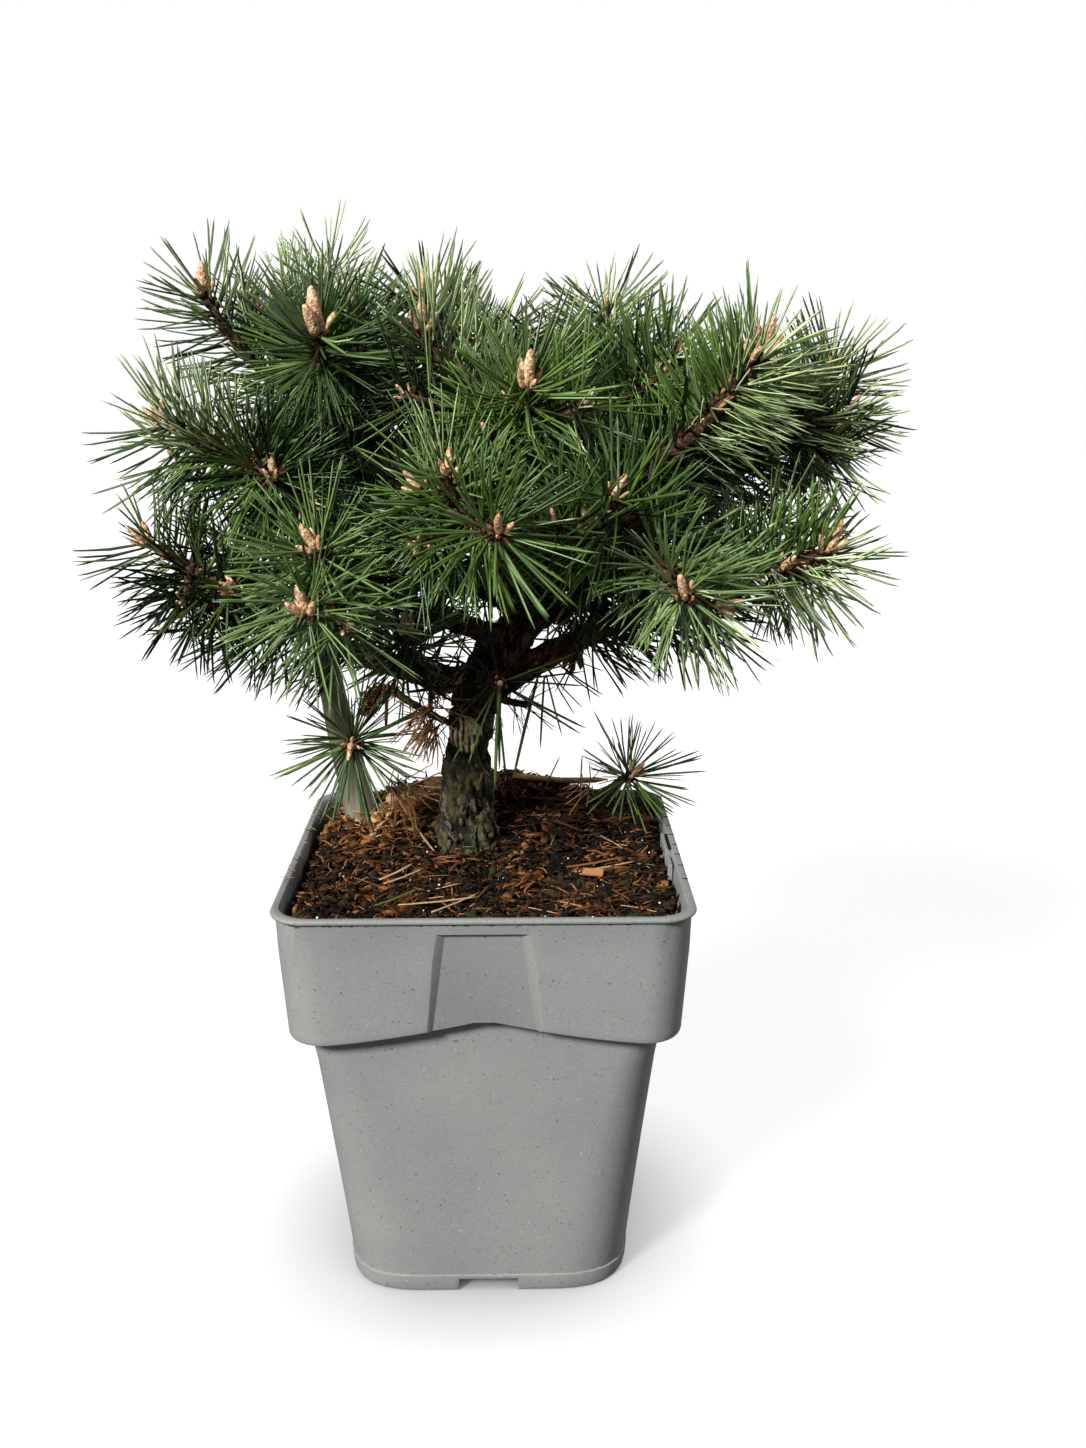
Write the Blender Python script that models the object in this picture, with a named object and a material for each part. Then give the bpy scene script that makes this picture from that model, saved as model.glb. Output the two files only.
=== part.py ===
"""A young mugo pine in a square nursery pot, about 39 cm tall.

Metres, +Z up, the front of the plant towards -Y. The origin is the middle of
the pot's flat underside. Pot, mulch, trunk, boughs and every mass of needles
are separate solids that touch with a hairline gap and never overlap.
"""

import math

import bmesh
import bpy
from mathutils import Matrix, Vector, noise

for leftover in list(bpy.data.objects):
    bpy.data.objects.remove(leftover, do_unlink=True)

# Hairline between pieces that touch, and how far a cutting helper stands past its cut
GAP = 0.0003
CUTTER_SPARE = 0.0080

# Pot: half widths, corner radii and heights
POT_HEIGHT = 0.159
FOOT_HALF = 0.0534
FOOT_CORNER = 0.0220
FOOT_BAND = 0.0070
FOOT_RAISE = 0.0055
FOOT_NOTCH = 0.0235
FOOT_RIM = 0.0105
FOOT_RIM_CORNER = 0.0140
BODY_TOP_HALF = 0.0648
BODY_TOP_CORNER = 0.0185
COLLAR_LOW_HALF = 0.0701
COLLAR_TOP_HALF = 0.0724
COLLAR_CORNER = 0.0150
COLLAR_LOW = 0.1100
COLLAR_ARCH = 0.0095
COLLAR_ARCH_REACH = 0.94
COLLAR_ARCH_CURVE = 1.6
COLLAR_LEDGE = 0.0042
COLLAR_LEDGE_RISE = 0.0040
COLLAR_TOP = POT_HEIGHT - 0.0034
LIP_HALF = 0.0738
LIP_CORNER = 0.0120
LIP_WIDTH = 0.0030
LIP_DEPTH = 0.0022
EDGE_ROUND = 0.0006
WALL = 0.0016
STEP_WALL = 0.0042
STEP_LOW = COLLAR_LOW + 0.0062
STEP_HIGH = COLLAR_LOW + 0.0085
WALL_STEP_TOP = 0.1480
FLOOR_TOP = 0.0075
PANEL_TOP = 0.1530
PANEL_TOP_HALF = 0.0150
PANEL_LOW_HALF = 0.0213
PANEL_DEPTH = 0.0018
PANEL_BEVEL = 0.9
DRAIN_RADIUS = 0.0040
DRAIN_OUT = 0.0330
PAD_RADIUS = 0.0150
SIDE_STEPS = (-0.021, 0.0, 0.021)
CORNER_STEPS = 5

# Mulch: the level along the wall, and the mound behind the trunk
MULCH_EDGE = 0.1515
MOUND_RISE = 0.0195
MOUND_Y = 0.0420
MOUND_WIDE = 0.0520
MOUND_DEEP = 0.0420
FRONT_RISE = 0.0025
MULCH_ROUGH = 0.0009
MULCH_CLEAR = 1.6 * GAP
MULCH_RINGS = (1.0, 0.82, 0.60, 0.36, 0.10)
SEAT_DEPTH = 0.0400
SEAT_FLARE = 1.25
TRUNK_SEAT = 0.0145
STEM_SEAT_EXTRA = 0.0015

# Trunk: middle line from the flat cut in the mulch to the leader's tip, with radii
TRUNK_FOOT = 0.1575
TRUNK_LINE = (
    ((-0.0070, 0.0020, TRUNK_FOOT), 0.0118),
    ((-0.0062, 0.0020, 0.1660), 0.0092),
    ((-0.0048, 0.0020, 0.1860), 0.0080),
    ((-0.0046, 0.0020, 0.2040), 0.0081),
    ((-0.0040, 0.0018, 0.2190), 0.0086),
    ((0.0040, 0.0010, 0.2330), 0.0074),
    ((0.0135, 0.0000, 0.2480), 0.0066),
    ((0.0150, 0.0020, 0.2680), 0.0058),
    ((0.0110, 0.0060, 0.2900), 0.0047),
    ((0.0060, 0.0090, 0.3120), 0.0036),
    ((0.0030, 0.0100, 0.3280), 0.0026),
)
TRUNK_SIDES = 10
TRUNK_RINGS = 19
BOUGH_SIDES = 6
BOUGH_RINGS = 6
LIMB_UNEVEN = 0.09

# Boughs: height where each leaves the trunk, where its tip is, how far its middle
# sags below a straight run, and its radius at the trunk
TIP_RADIUS = 0.0028
BOUGHS = {
    "bough_left": (0.2165, (-0.102, -0.018, 0.2690), 0.009, 0.0062),
    "bough_right": (0.2330, (0.091, -0.020, 0.2680), 0.012, 0.0062),
    "bough_front_left": (0.2410, (-0.049, -0.058, 0.2755), 0.002, 0.0042),
    "bough_front_right": (0.2470, (0.052, -0.060, 0.2830), 0.004, 0.0045),
    "bough_back_right": (0.2500, (0.066, 0.064, 0.3060), 0.004, 0.0045),
    "bough_mid_left": (0.2560, (-0.079, -0.018, 0.3065), 0.004, 0.0048),
    "bough_front": (0.2640, (-0.004, -0.076, 0.2940), 0.003, 0.0042),
    "bough_far_right": (0.2590, (0.110, 0.015, 0.3140), 0.006, 0.0048),
    "bough_back_left": (0.2690, (-0.060, 0.060, 0.3050), 0.003, 0.0042),
    "bough_upper_right": (0.2760, (0.070, -0.028, 0.3150), 0.002, 0.0042),
    "bough_upper_left": (0.2830, (-0.080, 0.012, 0.3380), 0.002, 0.0042),
    "bough_back": (0.2800, (0.006, 0.066, 0.3120), 0.002, 0.0038),
    "bough_front_top": (0.2920, (0.010, -0.045, 0.3180), 0.001, 0.0034),
    "bough_top_right": (0.2970, (0.047, 0.022, 0.3280), 0.001, 0.0034),
    "bough_top_left": (0.3020, (-0.050, 0.008, 0.3370), 0.001, 0.0032),
}

# Stems that come out of the mulch beside the trunk: x and y of the foot, tip, how far
# the middle bows along X, and the radii of foot and tip
STEM_SINK = 0.0015
STEMS = {
    "stem_left": ((-0.056, 0.016), (-0.062, 0.014, 0.2460), -0.004, 0.0055, 0.0036),
    "stem_low_right": ((0.044, 0.038), (0.057, 0.036, 0.1740), 0.001, 0.0022, 0.0016),
}
SIDE_TWIG_BASE = 0.42
SIDE_TWIG_TIP = (-0.052, -0.006, 0.2030)
SIDE_TWIG_RADIUS = 0.0022
SIDE_TWIG_SAG = 0.0030
SIDE_TWIG_RINGS = 5
SIDE_TWIG_TAPER = 0.76

# Needle masses: the limb that carries each, where the bud at its tip is, and how far
# its needles spread to the side
MASSES = {
    "mass_upper_left": ("bough_upper_left", (-0.108, 0.010, 0.366), 0.028),
    "mass_top_left": ("bough_top_left", (-0.058, 0.040, 0.375), 0.024),
    "mass_crown_left": ("bough_top_left", (-0.053, -0.050, 0.358), 0.031),
    "mass_top": ("trunk", (-0.018, 0.014, 0.368), 0.030),
    "mass_crown_front": ("bough_front_top", (-0.019, -0.040, 0.358), 0.029),
    "mass_crown_middle": ("bough_front_top", (0.016, -0.080, 0.341), 0.030),
    "mass_top_right": ("bough_top_right", (0.037, 0.030, 0.362), 0.030),
    "mass_crown_right": ("bough_top_right", (0.066, 0.000, 0.345), 0.028),
    "mass_left_high": ("bough_mid_left", (-0.113, -0.020, 0.326), 0.022),
    "mass_left_inner": ("bough_mid_left", (-0.066, -0.060, 0.311), 0.022),
    "mass_left_low": ("bough_left", (-0.128, -0.020, 0.285), 0.019),
    "mass_left_under": ("bough_left", (-0.084, -0.050, 0.271), 0.021),
    "mass_front_left_high": ("bough_front_left", (-0.050, -0.082, 0.296), 0.027),
    "mass_front_left_low": ("bough_front_left", (-0.053, -0.090, 0.268), 0.030),
    "mass_front_high": ("bough_front", (-0.008, -0.100, 0.316), 0.027),
    "mass_front_middle": ("bough_front", (-0.020, -0.092, 0.285), 0.025),
    "mass_front_low": ("bough_front", (0.008, -0.115, 0.292), 0.030),
    "mass_front_right_high": ("bough_front_right", (0.043, -0.090, 0.309), 0.030),
    "mass_front_right_low": ("bough_front_right", (0.062, -0.100, 0.276), 0.031),
    "mass_upper_right": ("bough_upper_right", (0.097, -0.030, 0.346), 0.026),
    "mass_far_right_high": ("bough_far_right", (0.132, 0.022, 0.339), 0.024),
    "mass_far_right": ("bough_far_right", (0.141, 0.008, 0.314), 0.024),
    "mass_right": ("bough_right", (0.123, -0.030, 0.283), 0.029),
    "mass_back_left_low": ("bough_back_left", (-0.092, 0.058, 0.290), 0.031),
    "mass_back_left_high": ("bough_back_left", (-0.078, 0.072, 0.335), 0.032),
    "mass_back_low_left": ("bough_back_left", (-0.035, 0.088, 0.285), 0.032),
    "mass_back_high": ("bough_back", (0.000, 0.078, 0.352), 0.033),
    "mass_back_middle": ("bough_back", (0.012, 0.104, 0.308), 0.031),
    "mass_back_low_right": ("bough_back_right", (0.048, 0.090, 0.283), 0.032),
    "mass_back_right_high": ("bough_back_right", (0.070, 0.074, 0.338), 0.033),
    "mass_back_right_low": ("bough_back_right", (0.100, 0.060, 0.296), 0.031),
    "mass_inner_front": ("trunk", (0.006, -0.038, 0.2360), 0.019),
    "mass_low_left": ("twig_low_left", (-0.052, -0.018, 0.2090), 0.023),
    "mass_low_right": ("stem_low_right", (0.061, 0.038, 0.1800), 0.019),
}
BUD_TO_MIDDLE = 0.70
REACH_PAST_BUD = 0.0135
REACH_BACK = 1.40
LOW_MASSES_ABOVE = 0.1650
MASS_SIDES = 10
MASS_RINGS = 6
UNEVEN = 0.16
MOST_UNEQUAL = 0.2
NEIGHBOUR_REACH = 0.1300
LIMB_REACH = 0.0700

# Height on the trunk from which the two trunk masses are turned
TRUNK_MASS_ROOTS = {"mass_top": 0.328, "mass_inner_front": 0.226}

# Colours: base colour and roughness, none of them metallic
COLOURS = {
    "pot_plastic": ((0.335, 0.340, 0.325), 0.62),
    "bark_mulch": ((0.075, 0.038, 0.018), 0.95),
    "pine_bark": ((0.105, 0.070, 0.042), 0.90),
    "pale_bark": ((0.300, 0.270, 0.210), 0.85),
    "needle_green": ((0.060, 0.140, 0.030), 0.60),
}


def material(name):
    """Returns the named material, and makes it the first time."""
    found = bpy.data.materials.get(name)
    if found:
        return found
    colour, roughness = COLOURS[name]
    found = bpy.data.materials.new(name)
    found.use_nodes = True
    shader = found.node_tree.nodes["Principled BSDF"]
    shader.inputs["Base Color"].default_value = (*colour, 1.0)
    shader.inputs["Roughness"].default_value = roughness
    shader.inputs["Metallic"].default_value = 0.0
    found.diffuse_color = (*colour, 1.0)
    return found


def new_object(name, bm, material_name, smooth=True):
    """Turns a bmesh into an object of flat triangles that point out."""
    bmesh.ops.triangulate(bm, faces=bm.faces)
    bmesh.ops.recalc_face_normals(bm, faces=bm.faces)
    mesh = bpy.data.meshes.new(name)
    bm.to_mesh(mesh)
    bm.free()
    if smooth:
        mesh.shade_smooth()
        mesh.set_sharp_from_angle(angle=math.radians(40))
    obj = bpy.data.objects.new(name, mesh)
    bpy.context.scene.collection.objects.link(obj)
    if material_name:
        mesh.materials.append(material(material_name))
    return obj


def as_cutter(obj):
    """Marks an object as a helper that only cuts others."""
    obj.hide_render = True
    obj.display_type = "WIRE"
    return obj


def loft(rings):
    """Joins closed rings of equal count one to the next, and caps both ends."""
    bm = bmesh.new()
    loops = [[bm.verts.new(point) for point in ring] for ring in rings]
    count = len(loops[0])
    for low, high in zip(loops, loops[1:]):
        for i in range(count):
            j = (i + 1) % count
            bm.faces.new((low[i], low[j], high[j], high[i]))
    bm.faces.new(loops[0])
    bm.faces.new(loops[-1])
    return bm


def cut(obj, cutters):
    """Cuts each helper from the object, and drops crumbs that come loose."""
    for cutter in cutters:
        boolean = obj.modifiers.new("cut " + cutter.name, "BOOLEAN")
        boolean.operation = "DIFFERENCE"
        boolean.solver = "EXACT"
        boolean.object = cutter
    graph = bpy.context.evaluated_depsgraph_get()
    carved = bpy.data.meshes.new_from_object(obj.evaluated_get(graph))
    obj.modifiers.clear()
    obj.data = carved
    bm = bmesh.new()
    bm.from_mesh(carved)
    islands = islands_of(bm)
    islands.sort(key=len)
    for island in islands[:-1]:
        bmesh.ops.delete(bm, geom=island, context="VERTS")
    bm.to_mesh(carved)
    bm.free()


def islands_of(bm):
    """Lists the connected groups of vertices."""
    seen = set()
    found = []
    for start in bm.verts:
        if start in seen:
            continue
        seen.add(start)
        group = [start]
        for vert in group:
            for edge in vert.link_edges:
                other = edge.other_vert(vert)
                if other not in seen:
                    seen.add(other)
                    group.append(other)
        found.append(group)
    return found


# Pot

def collar_rise(along, half):
    """How much higher the collar's lower edge is here than at the pot's corners."""
    share = 1.0 - along / (COLLAR_ARCH_REACH * half)
    return COLLAR_ARCH * max(0.0, share) ** COLLAR_ARCH_CURVE


def rounded_square(half, corner, z, arched=False):
    """One ring round the pot, anticlockwise from the middle of the +X side."""
    points = []
    straight = half - corner
    for turn in range(4):
        spin = Matrix.Rotation(turn * math.pi / 2, 3, "Z")
        side = [(half, min(max(step, -straight), straight)) for step in SIDE_STEPS]
        for k in range(CORNER_STEPS):
            angle = k * math.pi / 2 / (CORNER_STEPS - 1)
            side.append((straight + corner * math.cos(angle), straight + corner * math.sin(angle)))
        for x, y in side:
            rise = collar_rise(min(abs(x), abs(y)), half) if arched else 0.0
            points.append(spin @ Vector((x, y, z + rise)))
    return points


def circle(radius, z):
    """A ring with as many points as the pot's rings."""
    count = 4 * (len(SIDE_STEPS) + CORNER_STEPS)
    first = -math.pi / 4 * len(SIDE_STEPS) / (len(SIDE_STEPS) + CORNER_STEPS)
    return [
        Vector((
            radius * math.cos(first + 2 * math.pi * i / count),
            radius * math.sin(first + 2 * math.pi * i / count),
            z,
        ))
        for i in range(count)
    ]


def make_pot():
    """The hollow pot: foot, tapering body, collar with arched lower edge, and lip."""
    foot_inner = FOOT_HALF - FOOT_RIM
    ledge = BODY_TOP_HALF + COLLAR_LEDGE
    rings = [
        circle(PAD_RADIUS, 0.0),
        circle(PAD_RADIUS + EDGE_ROUND, FOOT_RAISE),
        rounded_square(foot_inner, FOOT_RIM_CORNER, FOOT_RAISE),
        rounded_square(foot_inner + EDGE_ROUND, FOOT_RIM_CORNER, 0.0),
        rounded_square(FOOT_HALF - EDGE_ROUND, FOOT_CORNER, 0.0),
        rounded_square(FOOT_HALF, FOOT_CORNER, EDGE_ROUND),
        rounded_square(FOOT_HALF + EDGE_ROUND, FOOT_CORNER, FOOT_BAND),
        rounded_square(FOOT_HALF, FOOT_CORNER, FOOT_BAND + EDGE_ROUND),
        rounded_square(BODY_TOP_HALF, BODY_TOP_CORNER, COLLAR_LOW + COLLAR_LEDGE_RISE, True),
        rounded_square(ledge, COLLAR_CORNER, COLLAR_LOW, True),
        rounded_square(COLLAR_LOW_HALF - EDGE_ROUND, COLLAR_CORNER, COLLAR_LOW, True),
        rounded_square(COLLAR_LOW_HALF, COLLAR_CORNER, COLLAR_LOW + EDGE_ROUND, True),
        rounded_square(COLLAR_TOP_HALF, COLLAR_CORNER, COLLAR_TOP),
        rounded_square(LIP_HALF - EDGE_ROUND, LIP_CORNER, COLLAR_TOP + EDGE_ROUND),
        rounded_square(LIP_HALF, LIP_CORNER, POT_HEIGHT - LIP_DEPTH),
        rounded_square(LIP_HALF, LIP_CORNER, POT_HEIGHT - EDGE_ROUND),
        rounded_square(LIP_HALF - EDGE_ROUND, LIP_CORNER, POT_HEIGHT),
        rounded_square(LIP_HALF - LIP_WIDTH + EDGE_ROUND, LIP_CORNER, POT_HEIGHT),
        rounded_square(LIP_HALF - LIP_WIDTH, LIP_CORNER, POT_HEIGHT - EDGE_ROUND),
        rounded_square(COLLAR_TOP_HALF - WALL, LIP_CORNER, COLLAR_TOP - EDGE_ROUND),
        rounded_square(COLLAR_TOP_HALF - STEP_WALL, COLLAR_CORNER, WALL_STEP_TOP),
        rounded_square(COLLAR_LOW_HALF - STEP_WALL, COLLAR_CORNER, STEP_HIGH, True),
        rounded_square(BODY_TOP_HALF - WALL, BODY_TOP_CORNER, STEP_LOW, True),
        rounded_square(FOOT_HALF - WALL, FOOT_CORNER, FLOOR_TOP),
    ]
    pot = new_object("pot", loft(rings), "pot_plastic")
    cutters = [foot_notch(turn) for turn in range(4)]
    cutters += [panel_cutter(turn) for turn in range(4)]
    cutters += [drain_cutter(turn) for turn in range(4)]
    cut(pot, cutters)


def box_cutter(name, corners):
    """A helper box from eight corners: four of one end, then four of the other."""
    return as_cutter(new_object(name, loft([corners[:4], corners[4:]]), None, smooth=False))


def foot_notch(turn):
    """The low gap in the middle of one side of the foot."""
    spin = Matrix.Rotation(turn * math.pi / 2, 3, "Z")
    ends = []
    half = FOOT_NOTCH / 2
    top_half = half - EDGE_ROUND
    for y in (-FOOT_HALF - CUTTER_SPARE, -FOOT_HALF + FOOT_RIM + 0.002):
        ends += [
            spin @ Vector((-half, y, -CUTTER_SPARE)),
            spin @ Vector((half, y, -CUTTER_SPARE)),
            spin @ Vector((top_half, y, FOOT_RAISE)),
            spin @ Vector((-top_half, y, FOOT_RAISE)),
        ]
    return box_cutter(f"foot_notch_cutter_{turn}", ends)


def panel_cutter(turn):
    """The shallow trapezoid recess in the collar, open at the collar's lower edge."""
    spin = Matrix.Rotation(turn * math.pi / 2, 3, "Z")
    low = COLLAR_LOW - CUTTER_SPARE / 2
    slope = (COLLAR_TOP_HALF - COLLAR_LOW_HALF) / (COLLAR_TOP - COLLAR_LOW)
    corners = []
    for out in (CUTTER_SPARE, -PANEL_DEPTH):
        for half, z in ((-PANEL_LOW_HALF, low), (PANEL_LOW_HALF, low),
                        (PANEL_TOP_HALF, PANEL_TOP), (-PANEL_TOP_HALF, PANEL_TOP)):
            face = COLLAR_LOW_HALF + slope * (z - COLLAR_LOW)
            narrowed = half if out > 0 else half * PANEL_BEVEL
            corners.append(spin @ Vector((narrowed, -face - out, z)))
    return box_cutter(f"panel_cutter_{turn}", corners)


def drain_cutter(turn):
    """A drain hole through the floor near one corner."""
    spin = Matrix.Rotation(math.pi / 4 + turn * math.pi / 2, 4, "Z")
    bm = bmesh.new()
    bmesh.ops.create_cone(
        bm, cap_ends=True, segments=8, radius1=DRAIN_RADIUS, radius2=DRAIN_RADIUS,
        depth=2 * (FLOOR_TOP + CUTTER_SPARE),
        matrix=spin @ Matrix.Translation((DRAIN_OUT, 0.0, 0.0)),
    )
    return as_cutter(new_object(f"drain_cutter_{turn}", bm, None, smooth=False))


# Mulch

def mulch_level(x, y):
    """Height of the mulch's top at a place in the pot."""
    mound = math.exp(-((x / MOUND_WIDE) ** 2) - ((y - MOUND_Y) / MOUND_DEEP) ** 2)
    front = FRONT_RISE * max(0.0, -y / LIP_HALF) ** 2
    rough = MULCH_ROUGH * noise.noise(Vector((x * 90, y * 90, 3.1)))
    return MULCH_EDGE + front + MOUND_RISE * mound + rough


def stem_foot(place):
    """Where a stem's flat foot sits, a little below the mulch's top."""
    return Vector((*place, mulch_level(*place) - STEM_SINK))


def make_mulch(seats):
    """The bark mulch and the root ball under it, which fill the pot to its floor."""
    body = BODY_TOP_HALF - WALL - MULCH_CLEAR
    step = COLLAR_LOW_HALF - STEP_WALL - MULCH_CLEAR
    rings = [
        rounded_square(FOOT_HALF - WALL - MULCH_CLEAR, FOOT_CORNER, FLOOR_TOP + GAP),
        rounded_square(body, BODY_TOP_CORNER, STEP_LOW, True),
        rounded_square(step, COLLAR_CORNER, STEP_HIGH, True),
    ]
    edge = rounded_square(COLLAR_TOP_HALF - STEP_WALL - MULCH_CLEAR, COLLAR_CORNER, 0.0)
    for share in MULCH_RINGS:
        ring = [Vector((p.x * share, p.y * share, 0.0)) for p in edge]
        for point in ring:
            point.z = mulch_level(point.x, point.y)
        rings.append(ring)
    mulch = new_object("mulch", loft(rings), "bark_mulch")
    cut(mulch, seats)


def seat_cutter(name, foot, radius):
    """A helper that levels the mulch under the flat foot of a stem."""
    bm = bmesh.new()
    middle = foot[2] - GAP + SEAT_DEPTH / 2
    bmesh.ops.create_cone(
        bm, cap_ends=True, segments=14, radius1=radius, radius2=radius * SEAT_FLARE,
        depth=SEAT_DEPTH, matrix=Matrix.Translation((foot[0], foot[1], middle)),
    )
    return as_cutter(new_object(name, bm, None, smooth=False))


# Limbs

def smooth_line(points, radii, count):
    """Reads `count` evenly spread points and radii from a smooth curve through the given ones."""
    points = [Vector(p) for p in points]
    last = len(points) - 1
    line, sizes = [], []
    for i in range(count):
        place = i * last / (count - 1)
        k = min(int(place), last - 1)
        t = place - k
        before = points[max(k - 1, 0)]
        after = points[min(k + 2, last)]
        a, b = points[k], points[k + 1]
        line.append(0.5 * (
            2 * a + (b - before) * t + (2 * before - 5 * a + 4 * b - after) * t ** 2
            + (3 * a - before - 3 * b + after) * t ** 3
        ))
        sizes.append(radii[k] + (radii[k + 1] - radii[k]) * t)
    return line, sizes


def limb_rings(line, radii, sides, grow=0.0, level_foot=False, seed=0.0):
    """Rings round a middle line, a little uneven, and larger by `grow` all over."""
    rings = []
    across = Vector((1.0, 0.0, 0.0))
    last = len(line) - 1
    for i, (middle, radius) in enumerate(zip(line, radii)):
        along = (line[min(i + 1, last)] - line[max(i - 1, 0)]).normalized()
        if level_foot and i == 0:
            along = Vector((0.0, 0.0, 1.0))
        across = (across - across.dot(along) * along).normalized()
        up = along.cross(across)
        if grow and i == 0:
            middle = middle - along * grow
        if grow and i == last:
            middle = middle + along * grow
        ring = []
        for k in range(sides):
            angle = 2 * math.pi * k / sides
            way = across * math.cos(angle) + up * math.sin(angle)
            lump = 1 + LIMB_UNEVEN * noise.noise(way * 1.3 + line[i] * 60 + Vector((seed, 0, 0)))
            ring.append(middle + way * (radius * lump + grow))
        rings.append(ring)
    return rings


def bough_line(start, tip, sag, count=BOUGH_RINGS):
    """A limb's middle line: one bend that sags below the straight run."""
    start, tip = Vector(start), Vector(tip)
    knee = start.lerp(tip, 0.5) + Vector((0, 0, -2 * sag))
    line = []
    for i in range(count):
        t = i / (count - 1)
        line.append(start * (1 - t) ** 2 + knee * 2 * t * (1 - t) + tip * t ** 2)
    return line


def trunk_at(z):
    """The trunk's middle at height z."""
    for (low, _), (high, _) in zip(TRUNK_LINE, TRUNK_LINE[1:]):
        if low[2] <= z <= high[2]:
            return Vector(low).lerp(Vector(high), (z - low[2]) / (high[2] - low[2]))
    return Vector(TRUNK_LINE[-1][0])


class Limb:
    """A limb's solid, its larger clearance solid, and its middle line."""

    def __init__(self, name, line, radii, sides, material_name, level_foot=False):
        seed = len(name) * 1.7
        self.name = name
        self.line = line
        self.radii = radii
        rings = limb_rings(line, radii, sides, 0.0, level_foot, seed)
        clear = limb_rings(line, radii, sides, GAP, level_foot, seed)
        self.solid = new_object(name, loft(rings), material_name)
        self.clearance = as_cutter(new_object(name + "_clearance", loft(clear), None))

    def distance(self, point):
        """How near the limb's surface comes to a point."""
        nearest = math.inf
        for i in range(len(self.line) - 1):
            a, b = self.line[i], self.line[i + 1]
            share = (point - a).dot(b - a) / (b - a).length_squared
            share = min(max(share, 0.0), 1.0)
            reach = self.radii[i] + (self.radii[i + 1] - self.radii[i]) * share
            nearest = min(nearest, (point - a.lerp(b, share)).length - reach)
        return nearest

    def meets(self, other):
        """Whether this limb comes within a hairline or so of another."""
        return any(other.distance(p) < r + 4 * GAP for p, r in zip(self.line, self.radii))


def make_trunk():
    """The trunk with its root flare, lean and fork, up to the leader's tip."""
    points = [p for p, _ in TRUNK_LINE]
    radii = [r for _, r in TRUNK_LINE]
    line, sizes = smooth_line(points, radii, TRUNK_RINGS)
    line[0] = Vector(points[0])
    return Limb("trunk", line, sizes, TRUNK_SIDES, "pine_bark", level_foot=True)


def make_boughs(trunk):
    """The boughs on the trunk, each cut to the trunk's surface."""
    limbs = []
    for name, (height, tip, sag, radius) in BOUGHS.items():
        start = trunk_at(height)
        line = bough_line(start, tip, sag)
        last = len(line) - 1
        radii = [radius + (TIP_RADIUS - radius) * i / last for i in range(last + 1)]
        limb = Limb(name, line, radii, BOUGH_SIDES, "pine_bark")
        near = [other.clearance for other in limbs if limb.meets(other)]
        cut(limb.solid, [trunk.clearance, *near])
        limbs.append(limb)
    return limbs


def make_stems():
    """The two stems beside the trunk, and the side twig on the left one."""
    limbs = []
    for name, (place, tip, bow, radius, tip_radius) in STEMS.items():
        line = bough_line(stem_foot(place), tip, 0.0)
        for i, point in enumerate(line):
            point.x += bow * math.sin(math.pi * i / (len(line) - 1))
        radii = [radius + (tip_radius - radius) * i / (len(line) - 1) for i in range(len(line))]
        bark = "pale_bark" if name == "stem_left" else "pine_bark"
        limbs.append(Limb(name, line, radii, BOUGH_SIDES, bark, level_foot=True))
    left = limbs[0]
    start = left.line[0].lerp(left.line[-1], SIDE_TWIG_BASE)
    start.x += STEMS["stem_left"][2] * math.sin(math.pi * SIDE_TWIG_BASE)
    line = bough_line(start, SIDE_TWIG_TIP, SIDE_TWIG_SAG, SIDE_TWIG_RINGS)
    step = (1 - SIDE_TWIG_TAPER) / (SIDE_TWIG_RINGS - 1)
    radii = [SIDE_TWIG_RADIUS * (1 - step * i) for i in range(SIDE_TWIG_RINGS)]
    twig = Limb("twig_low_left", line, radii, BOUGH_SIDES, "pine_bark")
    cut(twig.solid, [left.clearance])
    limbs.append(twig)
    return limbs


# Needle masses

class Mass:
    """Where one mass of needles is, which way its shoot points, and its sizes."""

    def __init__(self, name, root, bud, spread):
        self.name = name
        self.axis = (Vector(bud) - root).normalized()
        self.middle = Vector(bud) - self.axis * BUD_TO_MIDDLE * spread
        self.spread = spread
        self.ahead = BUD_TO_MIDDLE * spread + REACH_PAST_BUD
        self.behind = REACH_BACK * spread

    def radius(self, way):
        """The uneven mass's own radius in a direction, before its neighbours clip it."""
        along = way.dot(self.axis)
        across = math.sqrt(max(0.0, 1 - along * along))
        reach = self.ahead if along > 0 else self.behind
        smooth = 1 / math.sqrt((along / reach) ** 2 + (across / self.spread) ** 2)
        lump = noise.noise(way * 2.6 + self.middle * 40)
        return smooth * (1 + UNEVEN * lump)


def clip_to_neighbours(mass, way, length, others):
    """Shortens a radius so that it stays on the mass's own side of each neighbour."""
    for other in others:
        step = other.middle - mass.middle
        apart = step.length
        if other is mass or apart > NEIGHBOUR_REACH:
            continue
        lean = way.dot(step) / apart
        if lean <= 0:
            continue
        larger = (mass.spread ** 2 - other.spread ** 2) / (2 * apart ** 2)
        share = 0.5 + min(max(larger, -MOST_UNEQUAL), MOST_UNEQUAL)
        length = min(length, (share * apart - GAP / 2) / lean)
    if way.z < 0:
        length = min(length, (mass.middle.z - LOW_MASSES_ABOVE) / -way.z)
    return length


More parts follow.
